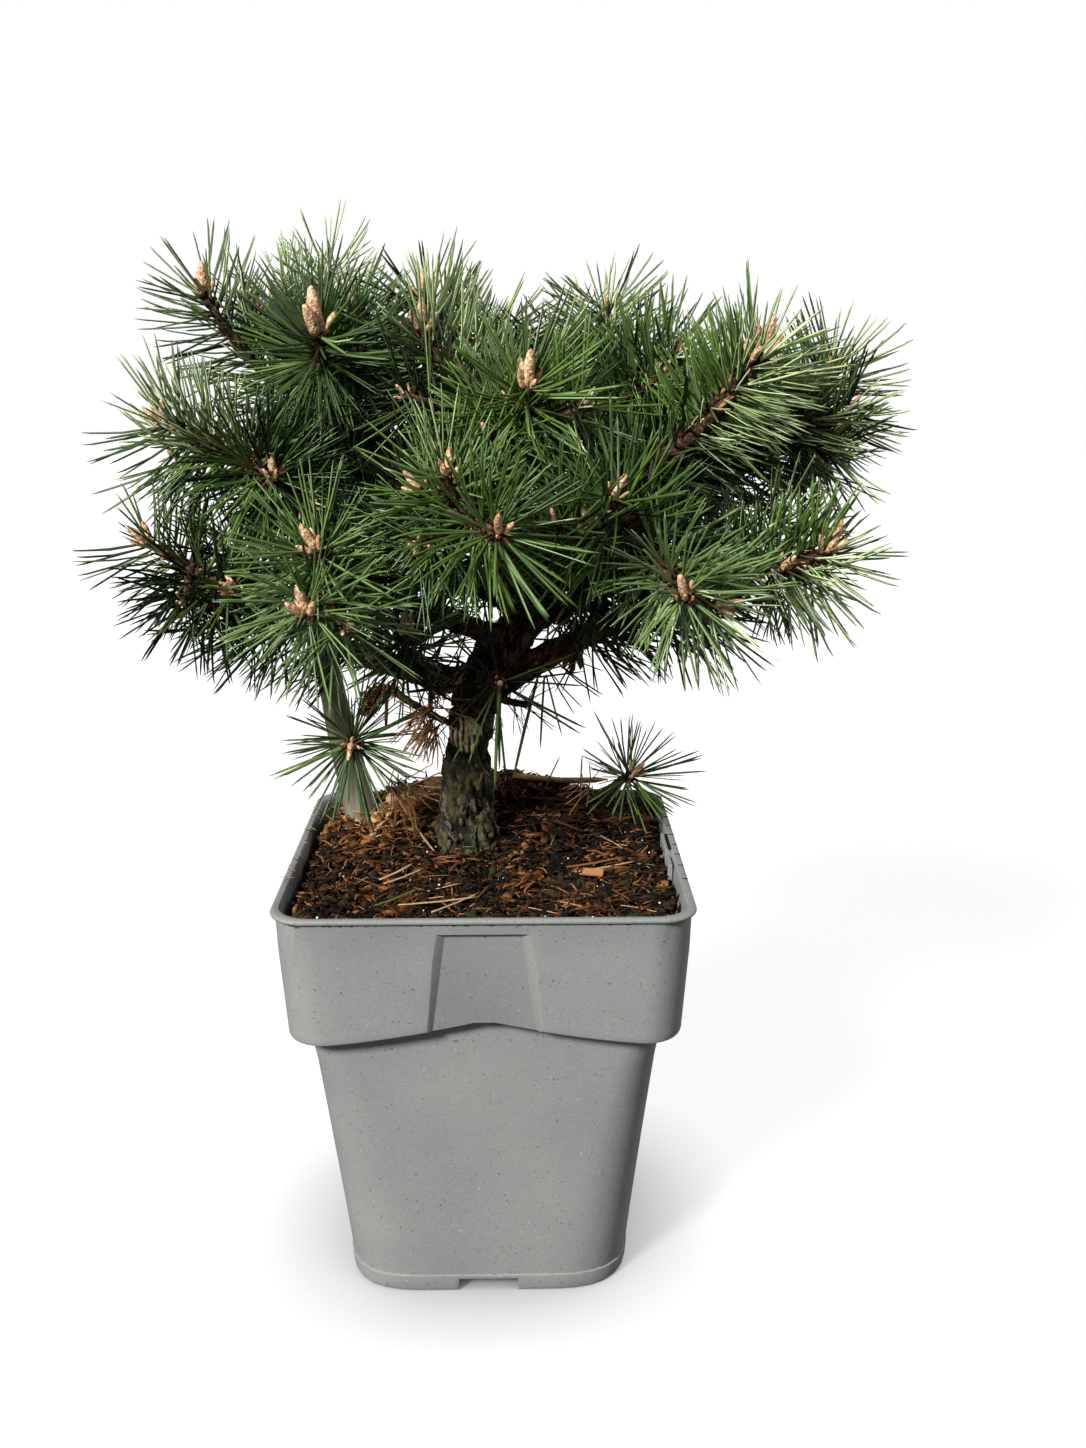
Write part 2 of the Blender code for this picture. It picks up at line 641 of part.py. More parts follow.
def make_mass(mass, others, limbs):
    """One closed, uneven mass: clipped to its neighbours and cut round the limbs."""
    side = mass.axis.orthogonal().normalized()
    other_side = mass.axis.cross(side)
    rows = []
    for r in range(1, MASS_RINGS + 1):
        polar = math.pi * r / (MASS_RINGS + 1)
        row = []
        for k in range(MASS_SIDES):
            turn = 2 * math.pi * (k + 0.5 * (r % 2)) / MASS_SIDES
            way = (
                mass.axis * math.cos(polar)
                + (side * math.cos(turn) + other_side * math.sin(turn)) * math.sin(polar)
            )
            row.append(surface_point(mass, way, others))
        rows.append(row)
    bm = loft(rows)
    for row, way in ((rows[0], mass.axis), (rows[-1], -mass.axis)):
        found = bmesh.ops.poke(bm, faces=[nearest_cap(bm, row)])
        found["verts"][0].co = surface_point(mass, way, others)
    solid = new_object(mass.name, bm, "needle_green", smooth=False)
    near = [limb for limb in limbs if limb.distance(mass.middle) < LIMB_REACH]
    cut(solid, [limb.clearance for limb in near])


def nearest_cap(bm, ring):
    """The end face that the given ring bounds."""
    middle = sum(ring, Vector()) / len(ring)
    caps = [face for face in bm.faces if len(face.verts) == len(ring)]
    return min(caps, key=lambda face: (face.calc_center_median() - middle).length)


def surface_point(mass, way, others):
    """Where the mass's surface is in a direction from its middle."""
    return mass.middle + way * clip_to_neighbours(mass, way, mass.radius(way), others)


def make_masses(trunk, limbs):
    """All the masses of needles, each on the limb that carries it."""
    tips = {limb.name: limb.line[-1] for limb in limbs}
    masses = []
    for name, (carrier, bud, spread) in MASSES.items():
        root = trunk_at(TRUNK_MASS_ROOTS[name]) if carrier == "trunk" else tips[carrier]
        masses.append(Mass(name, root, bud, spread))
    for mass in masses:
        make_mass(mass, masses, [trunk, *limbs])


def main():
    """Makes the plant from the limbs out, then the pot round it."""
    trunk = make_trunk()
    boughs = make_boughs(trunk)
    stems = make_stems()
    seats = [seat_cutter("trunk_seat", TRUNK_LINE[0][0], TRUNK_SEAT)]
    for name, (place, _, _, radius, _) in STEMS.items():
        seats.append(seat_cutter(name + "_seat", stem_foot(place), radius + STEM_SEAT_EXTRA))
    make_mulch(seats)
    make_pot()
    make_masses(trunk, boughs + stems)


main()
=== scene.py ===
# %% [markdown]
# # A young mugo pine in a square nursery pot
# The plant stands about 39 cm tall. A short leaning trunk forks into tiers of boughs, and each
# bough ends in upturned shoots: stems ringed with paired needles, with resinous buds at their
# tips. The pot is moulded grey plastic, filled with bark mulch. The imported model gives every
# size and place, and this script gives each surface its shape and finish.

# %% Load the fixed frame
import math
import random

import bmesh
import bpy
import numpy as np
from mathutils import Matrix, Vector, noise


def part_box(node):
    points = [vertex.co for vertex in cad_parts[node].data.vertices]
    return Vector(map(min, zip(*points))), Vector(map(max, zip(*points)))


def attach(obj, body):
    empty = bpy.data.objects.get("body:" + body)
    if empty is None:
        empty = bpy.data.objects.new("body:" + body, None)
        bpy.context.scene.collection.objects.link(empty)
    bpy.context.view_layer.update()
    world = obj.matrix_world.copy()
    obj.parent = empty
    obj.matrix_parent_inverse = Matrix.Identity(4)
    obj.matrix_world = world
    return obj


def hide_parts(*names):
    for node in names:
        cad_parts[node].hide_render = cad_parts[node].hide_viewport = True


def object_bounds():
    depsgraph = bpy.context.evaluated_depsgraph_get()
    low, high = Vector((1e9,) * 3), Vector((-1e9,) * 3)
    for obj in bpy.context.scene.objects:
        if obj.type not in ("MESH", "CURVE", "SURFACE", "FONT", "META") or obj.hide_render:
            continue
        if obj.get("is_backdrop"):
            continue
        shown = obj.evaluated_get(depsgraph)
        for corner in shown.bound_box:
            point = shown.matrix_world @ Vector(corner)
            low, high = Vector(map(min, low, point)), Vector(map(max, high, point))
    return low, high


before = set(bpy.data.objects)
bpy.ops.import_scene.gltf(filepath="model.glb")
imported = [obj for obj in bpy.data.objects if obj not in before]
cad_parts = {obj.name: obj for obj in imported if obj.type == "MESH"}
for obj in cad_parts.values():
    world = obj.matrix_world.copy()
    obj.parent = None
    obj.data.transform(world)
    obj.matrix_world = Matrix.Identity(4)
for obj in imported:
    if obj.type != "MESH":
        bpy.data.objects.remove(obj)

cad_low, cad_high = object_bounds()
UP = Vector((0.0, 0.0, 1.0))
print("the frame holds", len(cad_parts), "nodes, up to", round(cad_high.z, 4), "m")

# %% [markdown]
# ## Camera and light
# The picture looks slightly down on the pot from half a metre away, so the rim shows as a
# narrow band and the crown is seen almost from the side. A long lens further off would flatten
# the pot's taper, so the camera stands at the real distance. The light is a soft sun from
# the upper left. A weak and wide one from behind on the right lifts the dark sides, and a
# white sky fills the shadows and gives the blank backdrop.

# %% Set up the camera
CAMERA_PLACE = (0.0121, -0.5303, 0.3477)
CAMERA_PITCH = math.radians(14.77)
CAMERA_YAW = math.radians(-1.02)
CAMERA_LENS = 36.05

camera_data = bpy.data.cameras.new("camera")
camera_data.lens = CAMERA_LENS
camera_data.sensor_width = 36.0
camera_data.clip_start = 0.01
camera = bpy.data.objects.new("camera", camera_data)
camera.location = CAMERA_PLACE
camera.rotation_euler = (math.pi / 2 - CAMERA_PITCH, 0.0, CAMERA_YAW)
bpy.context.scene.collection.objects.link(camera)
bpy.context.scene.camera = camera
bpy.context.scene.view_settings.view_transform = "Standard"
print("camera at", [round(c, 3) for c in camera.location])

# %% Set up the lights
SKY_STRENGTH = 0.13
BACKDROP_STRENGTH = 1.0
KEY_WAY = Vector((0.50, 0.66, -0.56))
KEY_STRENGTH = 6.9
KEY_SOFTNESS = math.radians(12)
BACK_WAY = Vector((-1.0, -0.60, -0.40))
BACK_STRENGTH = 1.4
BACK_SOFTNESS = math.radians(40)


def add_when_seen(tree, target, unseen, seen):
    """Gives a strength one value for what the camera sees and another for the light it sheds."""
    ray = tree.nodes.new("ShaderNodeLightPath")
    strength = tree.nodes.new("ShaderNodeMapRange")
    strength.inputs["To Min"].default_value = unseen
    strength.inputs["To Max"].default_value = seen
    tree.links.new(ray.outputs["Is Camera Ray"], strength.inputs["Value"])
    tree.links.new(strength.outputs["Result"], target)


def add_sky():
    """A white backdrop that sheds less light than it shows."""
    world = bpy.data.worlds.new("white sky")
    world.use_nodes = True
    sky = world.node_tree.nodes["Background"]
    sky.inputs["Color"].default_value = (1.0, 1.0, 1.0, 1.0)
    add_when_seen(world.node_tree, sky.inputs["Strength"], SKY_STRENGTH, BACKDROP_STRENGTH)
    bpy.context.scene.world = world


def add_far_lamp(name, way, strength, softness):
    """A far lamp, so that plant and floor get the same light everywhere."""
    data = bpy.data.lights.new(name, "SUN")
    data.energy = strength
    data.angle = softness
    lamp = bpy.data.objects.new(name, data)
    lamp.rotation_euler = way.to_track_quat("-Z", "Y").to_euler()
    bpy.context.scene.collection.objects.link(lamp)


add_sky()
add_far_lamp("key", KEY_WAY, KEY_STRENGTH, KEY_SOFTNESS)
add_far_lamp("back", BACK_WAY, BACK_STRENGTH, BACK_SOFTNESS)
print("two lamps and a white sky")


# %% [markdown]
# ## Finishes
# Every finish is one Principled shader. Patterns come from noise read on Object coordinates, so
# they sit still on the piece from any side. Values that are the same all over are set on the
# shader's own sockets. Needles have no pattern: real ones differ from shoot to shoot more
# than along their length, so each shoot is dealt one plain green, and some of its pairs get
# the next lighter or darker one. The greens also paint light and shade: pale ones on lit
# shoots low at the front, a near-black one inside and behind the crown, and a pale flat
# side that is partly a painted highlight.

# %% Helpers that build a finish
def start_material(name, roughness, specular=0.5):
    """A Principled material with its constant values set."""
    material = bpy.data.materials.new(name)
    material.use_nodes = True
    shader = material.node_tree.nodes["Principled BSDF"]
    shader.inputs["Roughness"].default_value = roughness
    shader.inputs["Specular IOR Level"].default_value = specular
    return material


def add_node(material, kind, **settings):
    """A node whose sockets and settings are given by name."""
    made = material.node_tree.nodes.new(kind)
    for key, value in settings.items():
        if key in made.inputs:
            made.inputs[key].default_value = value
        else:
            setattr(made, key, value)
    return made


def wire(material, source, target):
    """Joins one socket to another."""
    material.node_tree.links.new(source, target)


def shader_of(material):
    """The material's shader."""
    return material.node_tree.nodes["Principled BSDF"]


def colour_with(material, pattern):
    """Sends a pattern to the shader's colour."""
    wire(material, pattern, shader_of(material).inputs["Base Color"])


def noise_of(material, scale, detail=3.0, stretch=(1.0, 1.0, 1.0), turn=(0.0, 0.0, 0.0)):
    """A noise from 0 to 1 on Object coordinates, stretched or turned where asked."""
    place = add_node(material, "ShaderNodeTexCoord")
    mapping = add_node(material, "ShaderNodeMapping", Scale=stretch, Rotation=turn)
    speckle = add_node(material, "ShaderNodeTexNoise", Scale=scale, Detail=detail)
    wire(material, place.outputs["Object"], mapping.inputs["Vector"])
    wire(material, mapping.outputs["Vector"], speckle.inputs["Vector"])
    return speckle.outputs["Fac"]


def ramp_of(material, source, stops):
    """Turns a value into colour, or into grey where the stops are plain numbers."""
    ramp = add_node(material, "ShaderNodeValToRGB")
    elements = ramp.color_ramp.elements
    while len(elements) < len(stops):
        elements.new(0.5)
    for element, (place, colour) in zip(elements, stops):
        element.position = place
        if isinstance(colour, float):
            colour = (colour, colour, colour)
        element.color = (*colour, 1.0)
    wire(material, source, ramp.inputs["Fac"])
    return ramp.outputs["Color"]


def mix_colours(material, share, first, second, kind="MIX"):
    """Mixes two colours by a share. Each may be a socket or a plain value."""
    mix = add_node(material, "ShaderNodeMix", data_type="RGBA", blend_type=kind)
    for socket, value in ((mix.inputs[0], share), (mix.inputs[6], first), (mix.inputs[7], second)):
        if isinstance(value, bpy.types.NodeSocket):
            wire(material, value, socket)
        elif isinstance(value, float):
            socket.default_value = value
        else:
            socket.default_value = (*value, 1.0)
    return mix.outputs[2]


def add_bump(material, height, distance, strength=1.0):
    """Sends a height to the shader's normal."""
    bump = add_node(material, "ShaderNodeBump", Strength=strength, Distance=distance)
    wire(material, height, bump.inputs["Height"])
    wire(material, bump.outputs["Normal"], shader_of(material).inputs["Normal"])


def grained_finish(name, roughness, specular, grain, stops, fine_grain, distance, strength):
    """Colours dealt by one noise, and bumps by a finer one. A grain is what noise_of takes."""
    material = start_material(name, roughness, specular)
    colour_with(material, ramp_of(material, noise_of(material, *grain), stops))
    add_bump(material, noise_of(material, *fine_grain), distance, strength)
    return material


def plain_material(name, colour, roughness, specular=0.5):
    """A finish of one colour."""
    material = start_material(name, roughness, specular)
    shader_of(material).inputs["Base Color"].default_value = (*colour, 1.0)
    return material


# %% Helpers that finish a piece
def show_mesh(name, mesh, materials, smooth):
    """Gives a mesh its finishes and an object of its own at the origin."""
    if smooth:
        mesh.shade_smooth()
    for material in materials:
        mesh.materials.append(material)
    made = bpy.data.objects.new(name, mesh)
    bpy.context.scene.collection.objects.link(made)
    return made


def to_object(name, bm, materials, smooth=True):
    """Writes a bmesh to an object."""
    mesh = bpy.data.meshes.new(name)
    bm.to_mesh(mesh)
    bm.free()
    return show_mesh(name, mesh, materials, smooth)


def hand_over(made, nodes=()):
    """Makes a piece ride with the plant, in place of the solids that it stands for."""
    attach(made, "root")
    if nodes:
        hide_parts(*nodes)
    made.data.calc_loop_triangles()
    print(made.name, len(made.data.loop_triangles), "triangles")


def apply_modifiers(made):
    """Replaces the object's mesh by the one that its modifiers give."""
    graph = bpy.context.evaluated_depsgraph_get()
    mesh = bpy.data.meshes.new_from_object(made.evaluated_get(graph))
    made.modifiers.clear()
    made.data = mesh


# %% [markdown]
# ## Tubes along a line
# Trunk, boughs, twigs, buds and even needles are all a ring carried along a line. An extruded
# edge loop does this well: each step pushes the last ring to its next place, and the open ends
# are filled once at the end.

# %% Helpers that grow a tube
def frames_along(line, radii):
    """One matrix for each point: Z runs along the line, and the scale is the radius."""
    across = Vector((1.0, 0.0, 0.0))
    last = len(line) - 1
    frames = []
    for i, (point, radius) in enumerate(zip(line, radii)):
        along = (line[min(i + 1, last)] - line[max(i - 1, 0)]).normalized()
        across = across - across.dot(along) * along
        if across.length < 0.05:
            across = along.orthogonal()
        across.normalize()
        turned = Matrix((across, along.cross(across), along)).transposed()
        frames.append(Matrix.Translation(point) @ (turned * radius).to_4x4())
    return frames


def next_ring(bm, edges):
    """Extrudes a loop of edges in place. Returns the points and edges of the new loop."""
    made = bmesh.ops.extrude_edge_only(bm, edges=edges)["geom"]
    verts = [part for part in made if isinstance(part, bmesh.types.BMVert)]
    new = set(verts)
    edges = [part for part in made if isinstance(part, bmesh.types.BMEdge)]
    return verts, [edge for edge in edges if new.issuperset(edge.verts)]


def grow_tube(bm, line, radii, sides):
    """Carries a ring along the line. Its ends stay open until close_ends."""
    frames = frames_along(line, radii)
    ring = bmesh.ops.create_circle(bm, segments=sides, radius=1.0, matrix=frames[0])["verts"]
    edges = list(dict.fromkeys(edge for vert in ring for edge in vert.link_edges))
    for before, after in zip(frames, frames[1:]):
        verts, edges = next_ring(bm, edges)
        bmesh.ops.transform(bm, matrix=after @ before.inverted(), verts=verts)


def close_ends(bm):
    """Fills every open ring, and turns all faces outwards."""
    bmesh.ops.holes_fill(bm, edges=[edge for edge in bm.edges if edge.is_boundary], sides=0)
    bmesh.ops.recalc_face_normals(bm, faces=bm.faces)


def bezier(a, b, c, d, t):
    """A point on a cubic curve."""
    s = 1 - t
    return a * s ** 3 + b * 3 * s * s * t + c * 3 * s * t * t + d * t ** 3


# %% [markdown]
# ## The pot
# A nursery pot is vacuum formed from a sheet a millimetre or so thick. Its foot is a low band
# with a notch in each side, the body tapers with corners that grow softer downwards, and a
# collar with an arched lower edge carries the rolled lip. A stack of rounded squares, bridged
# one to the next, gives that profile with even faces. The recessed panels and the notches are
# then cut with Booleans, and a narrow bevel softens the new edges as moulding does.

# %% Pot sizes
_, POT_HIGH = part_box("pot")
POT_HEIGHT = POT_HIGH.z
LIP_HALF = POT_HIGH.x
FOOT_HALF = 0.0534
FOOT_BAND = 0.007
FOOT_RAISE = 0.0055
FOOT_RIM = 0.0105
FOOT_NOTCH = 0.0235
NOTCH_DEPTH = 0.008
FOOT_CORNER = 0.032
BODY_TOP_HALF = 0.0634
BODY_TOP_CORNER = 0.013
COLLAR_LOW_HALF = 0.0701
COLLAR_TOP_HALF = 0.0724
COLLAR_CORNER = 0.015
COLLAR_LOW = 0.11
COLLAR_ARCH = 0.0095
COLLAR_TOP = POT_HEIGHT - 0.0021
LIP_CORNER = 0.0125
LIP_WIDTH = 0.0032
WALL = 0.0014
COLLAR_INSIDE = 0.0699
PANEL_TOP = 0.153
PANEL_TOP_HALF = 0.0158
PANEL_LOW_HALF = 0.0222
PANEL_WALL = 0.0026
PANEL_DEPTH = 0.0018
SIDE_CUTS = 14
CORNER_CUTS = 9
SOFT_CORNER = 0.62
ROUND_CORNER = 0.5
ARCH_SPAN = 0.94
ARCH_EASE = 1.6
DRAIN_RADIUS = 0.004
DRAIN_PLACE = 0.033

# %% The rings of the shell
def add_ring(bm, half, corner, z, arched=False, profile=ROUND_CORNER):
    """One rounded square, as a loop of edges. Returns the loop."""
    square = bmesh.ops.create_circle(
        bm, cap_ends=True, segments=4, radius=half * math.sqrt(2),
        matrix=Matrix.Translation((0, 0, z)) @ Matrix.Rotation(math.pi / 4, 4, "Z"),
    )["verts"]
    bmesh.ops.bevel(
        bm, geom=square, offset=corner, offset_type="OFFSET", affect="VERTICES",
        segments=CORNER_CUTS, profile=profile, material=-1,
    )
    face = max(bm.faces, key=lambda f: len(f.verts))
    sides = [edge for edge in face.edges if edge.calc_length() > half - corner]
    bmesh.ops.subdivide_edges(bm, edges=sides, cuts=SIDE_CUTS)
    face = max(bm.faces, key=lambda f: len(f.verts))
    if arched:
        for vert in face.verts:
            along = min(abs(vert.co.x), abs(vert.co.y)) / (ARCH_SPAN * half)
            vert.co.z += COLLAR_ARCH * max(0.0, 1.0 - along) ** ARCH_EASE
    loop = list(face.edges)
    bmesh.ops.delete(bm, geom=[face], context="FACES_ONLY")
    return loop


def pot_shell():
    """The wall of the pot from the underside, up the outside, over the lip and down inside."""
    low = COLLAR_LOW
    drum = [(0.0150, 0.0149, 0.0), (0.0153, 0.0149, 0.0004), (0.0156, 0.0152, FOOT_RAISE)]
    foot = [
        (FOOT_HALF - FOOT_RIM, 0.0190, FOOT_RAISE),
        (FOOT_HALF - FOOT_RIM + 0.0004, 0.0190, 0.0006),
        (FOOT_HALF - FOOT_RIM + 0.0010, 0.0195, 0.0),
        (FOOT_HALF - 0.0012, FOOT_CORNER, 0.0),
        (FOOT_HALF - 0.0004, FOOT_CORNER, 0.0004),
        (FOOT_HALF, FOOT_CORNER, 0.0012),
        (FOOT_HALF + 0.00055, FOOT_CORNER, FOOT_BAND - 0.0002),
        (FOOT_HALF + 0.00045, FOOT_CORNER, FOOT_BAND),
        (FOOT_HALF + 0.0001, FOOT_CORNER, FOOT_BAND + 0.00015),
        (FOOT_HALF + 0.0002, FOOT_CORNER, FOOT_BAND + 0.0008),
    ]
    rings = [(*ring, False, ROUND_CORNER) for ring in drum]
    rings += [(*ring, False, SOFT_CORNER) for ring in foot]
    steps = 6
    for i in range(1, steps):
        t = i / steps
        rings.append((
            FOOT_HALF + (BODY_TOP_HALF - FOOT_HALF) * t,
            FOOT_CORNER + (BODY_TOP_CORNER - FOOT_CORNER) * t,
            FOOT_BAND + (low + 0.004 - FOOT_BAND) * t, False,
            SOFT_CORNER + (ROUND_CORNER - SOFT_CORNER) * t,
        ))
    collar = [
        (BODY_TOP_HALF - 0.0008, BODY_TOP_CORNER, low - 0.006),
        (BODY_TOP_HALF, BODY_TOP_CORNER, low + 0.0010),
        (BODY_TOP_HALF + 0.0042, COLLAR_CORNER, low),
        (COLLAR_LOW_HALF - 0.0008, COLLAR_CORNER, low - 0.0001),
        (COLLAR_LOW_HALF - 0.0002, COLLAR_CORNER, low + 0.0003),
        (COLLAR_LOW_HALF, COLLAR_CORNER, low + 0.0010),
        (COLLAR_LOW_HALF + 0.0001, COLLAR_CORNER, low + 0.0030),
    ]
    lip = [
        (COLLAR_TOP_HALF - 0.0003, COLLAR_CORNER, COLLAR_TOP - 0.014),
        (COLLAR_TOP_HALF, COLLAR_CORNER - 0.001, COLLAR_TOP),
        (COLLAR_TOP_HALF + 0.0008, LIP_CORNER, COLLAR_TOP + 0.0001),
        (LIP_HALF - 0.0002, LIP_CORNER, COLLAR_TOP + 0.0004),
        (LIP_HALF, LIP_CORNER, POT_HEIGHT - 0.0011),
        (LIP_HALF - 0.0002, LIP_CORNER, POT_HEIGHT - 0.0005),
        (LIP_HALF - 0.0008, LIP_CORNER, POT_HEIGHT - 0.0001),
        (LIP_HALF - 0.0015, LIP_CORNER, POT_HEIGHT),
        (LIP_HALF - LIP_WIDTH + 0.0006, LIP_CORNER, POT_HEIGHT - 0.0002),
        (LIP_HALF - LIP_WIDTH, LIP_CORNER, POT_HEIGHT - 0.0010),
        (LIP_HALF - LIP_WIDTH - 0.0003, LIP_CORNER, POT_HEIGHT - 0.0030),
        (COLLAR_INSIDE, LIP_CORNER, PANEL_TOP - 0.004),
        (COLLAR_INSIDE - 0.0008, LIP_CORNER, PANEL_TOP - 0.016),
    ]
    shelf = [
        (COLLAR_LOW_HALF - 0.0042, COLLAR_CORNER, low + 0.0120),
        (BODY_TOP_HALF - WALL, BODY_TOP_CORNER, low + 0.0100),
    ]
    rings += [(*ring, True, ROUND_CORNER) for ring in collar]
    rings += [(*ring, False, ROUND_CORNER) for ring in lip]
    rings += [(*ring, True, ROUND_CORNER) for ring in shelf]
    rings.append((FOOT_HALF - WALL, FOOT_CORNER, FOOT_RAISE + WALL, False, SOFT_CORNER))
    bm = bmesh.new()
    loops = [add_ring(bm, *ring) for ring in rings]
    for low_loop, high_loop in zip(loops, loops[1:]):
        bmesh.ops.bridge_loops(bm, edges=low_loop + high_loop)
    close_ends(bm)
    return bm


# %% The cutting helpers
def quarter_turn(turn):
    """A turn to one of the pot's four sides."""
    return Matrix.Rotation(turn * math.pi / 2, 4, "Z")


def tapered_cutter(bm, turn, inner, outer):
    """A block between two upright trapezoids, each (y, low z, high z, low half, high half)."""
    block = bmesh.ops.create_cube(bm, size=2.0)["verts"]
    for vert in block:
        y, low, high, low_half, high_half = outer if vert.co.y < 0 else inner
        half = high_half if vert.co.z > 0 else low_half
        height = high if vert.co.z > 0 else low
        vert.co = Vector((half * (1 if vert.co.x > 0 else -1), y, height))
    bmesh.ops.transform(bm, matrix=quarter_turn(turn), verts=block)


def cutting_helper(name, bm):
    """An unseen object for a Boolean."""
    bmesh.ops.recalc_face_normals(bm, faces=bm.faces)
    helper = to_object(name, bm, [], smooth=False)
    helper.hide_render = True
    helper.display_type = "WIRE"
    return helper


def pot_cutters():
    """The recessed panels, the notches in the foot and the drain holes."""
    bm = bmesh.new()
    spare = 0.006
    for turn in range(4):
        low = COLLAR_LOW - spare
        slope = (COLLAR_TOP_HALF - COLLAR_LOW_HALF) / (COLLAR_TOP - COLLAR_LOW)
        low_face = -COLLAR_LOW_HALF + slope * spare
        high_face = -COLLAR_LOW_HALF - slope * (PANEL_TOP - COLLAR_LOW)
        floor = bmesh.ops.create_cube(bm, size=2.0)["verts"]
        for vert in floor:
            top, outside = vert.co.z > 0, vert.co.y < 0
            face = high_face if top else low_face
            half = (PANEL_TOP_HALF if top else PANEL_LOW_HALF) - PANEL_WALL
            depth = PANEL_DEPTH
            height = PANEL_TOP - PANEL_WALL * 0.35 if top else low
            if outside:
                grow = PANEL_WALL * (spare + PANEL_DEPTH) / PANEL_DEPTH
                half, depth = half + grow, -spare
                height = height + grow * 0.35 if top else low
            vert.co = Vector((half * (1 if vert.co.x > 0 else -1), face + depth, height))
        bmesh.ops.transform(bm, matrix=quarter_turn(turn), verts=floor)
    panels = cutting_helper("panel cutter", bm)
    bm = bmesh.new()
    half = FOOT_NOTCH / 2
    inner = (-FOOT_HALF + NOTCH_DEPTH, -spare, FOOT_RAISE, half, half - 0.0007)
    outer = (-FOOT_HALF - spare, -spare, FOOT_RAISE, half, half - 0.0007)
    for turn in range(4):
        tapered_cutter(bm, turn, inner, outer)
    notches = cutting_helper("notch cutter", bm)
    bm = bmesh.new()
    for turn in range(4):
        bmesh.ops.create_cone(
            bm, cap_ends=True, segments=24, radius1=DRAIN_RADIUS, radius2=DRAIN_RADIUS, depth=0.03,
            matrix=Matrix.Rotation(math.pi / 4, 4, "Z") @ quarter_turn(turn)
            @ Matrix.Translation((DRAIN_PLACE, 0, 0)),
        )
    drains = cutting_helper("drain cutter", bm)
    return panels, notches, drains


# %% Pot finish
def pot_finish():
    """Matt grey plastic with a faint cloud, fine dark and pale specks and short scratches."""
    material = start_material("pot plastic", 0.6, 0.35)
    cloud = ramp_of(material, noise_of(material, 22.0, 5.0), [
        (0.30, (0.188, 0.193, 0.184)), (0.70, (0.218, 0.222, 0.211)),
    ])
    grain = ramp_of(material, noise_of(material, 900.0, 2.0), [(0.30, 0.93), (0.70, 1.05)])
    body = mix_colours(material, 1.0, cloud, grain, "MULTIPLY")
    dark = ramp_of(material, noise_of(material, 1000.0, 0.0), [(0.77, 0.0), (0.81, 0.75)])
    body = mix_colours(material, dark, body, (0.07, 0.065, 0.055))
    pale = ramp_of(material, noise_of(material, 800.0, 0.0, turn=(0.4, 1.1, 0.2)), [
        (0.835, 0.0), (0.87, 0.5),
    ])
    body = mix_colours(material, pale, body, (0.42, 0.42, 0.40))
    scratch = ramp_of(
        material, noise_of(material, 90.0, 3.0, (1.0, 1.0, 9.0), (0.2, 0.5, 0.0)),
        [(0.70, 0.0), (0.76, 1.0)],
    )
    body = mix_colours(material, mix_colours(material, 0.20, (0.0, 0.0, 0.0), scratch), body,
                       (0.30, 0.30, 0.29))
    colour_with(material, body)
    wire(material, ramp_of(material, noise_of(material, 60.0, 3.0), [(0.3, 0.5), (0.7, 0.68)]),
         shader_of(material).inputs["Roughness"])
    add_bump(material, noise_of(material, 700.0, 3.0), 0.0002, 0.35)
    return material


POT_FINISH = pot_finish()


# %% Make the pot
def make_pot():
    """Cuts the shell, softens its edges and hands it over."""
    pot = to_object("nursery_pot", pot_shell(), [POT_FINISH], smooth=False)
    helpers = pot_cutters()
    for helper in helpers:
        boolean = pot.modifiers.new(helper.name, "BOOLEAN")
        boolean.operation = "DIFFERENCE"
        boolean.solver = "EXACT"
        boolean.object = helper
    bevel = pot.modifiers.new("softened edges", "BEVEL")
    bevel.width = 0.0003
    bevel.segments = 2
    bevel.limit_method = "ANGLE"
    bevel.angle_limit = math.radians(26)
    apply_modifiers(pot)
    for helper in helpers:
        bpy.data.objects.remove(helper)
    pot.data.shade_smooth()
    pot.data.set_sharp_from_angle(angle=math.radians(24))
    hand_over(pot, ["pot"])


make_pot()


# %% [markdown]
# ## Limbs
# Trunk and boughs are first plain tubes along their middle lines. A voxel remesh melts them into
# one skin with soft crotches where limb leaves limb. Then each point of that skin is pushed out
# or in by the bark's own relief, which needs to know how far along its limb the point lies and
# which way it faces, so that plates run with the wood and not with the world's axes.

# %% Where the limbs run
TRUNK = (
    ((-0.0078, 0.002, 0.157), 0.0112), ((-0.0082, 0.002, 0.168), 0.0102),
    ((-0.008, 0.002, 0.183), 0.0093), ((-0.006, 0.002, 0.202), 0.0073),
    ((-0.004, 0.0018, 0.219), 0.008), ((0.004, 0.001, 0.233), 0.0076),
    ((0.0135, 0.0, 0.248), 0.0067), ((0.015, 0.002, 0.268), 0.0058),
    ((0.011, 0.006, 0.29), 0.0047), ((0.006, 0.009, 0.312), 0.0036),
    ((0.003, 0.01, 0.328), 0.0026),
)
TIP_RADIUS = 0.0021
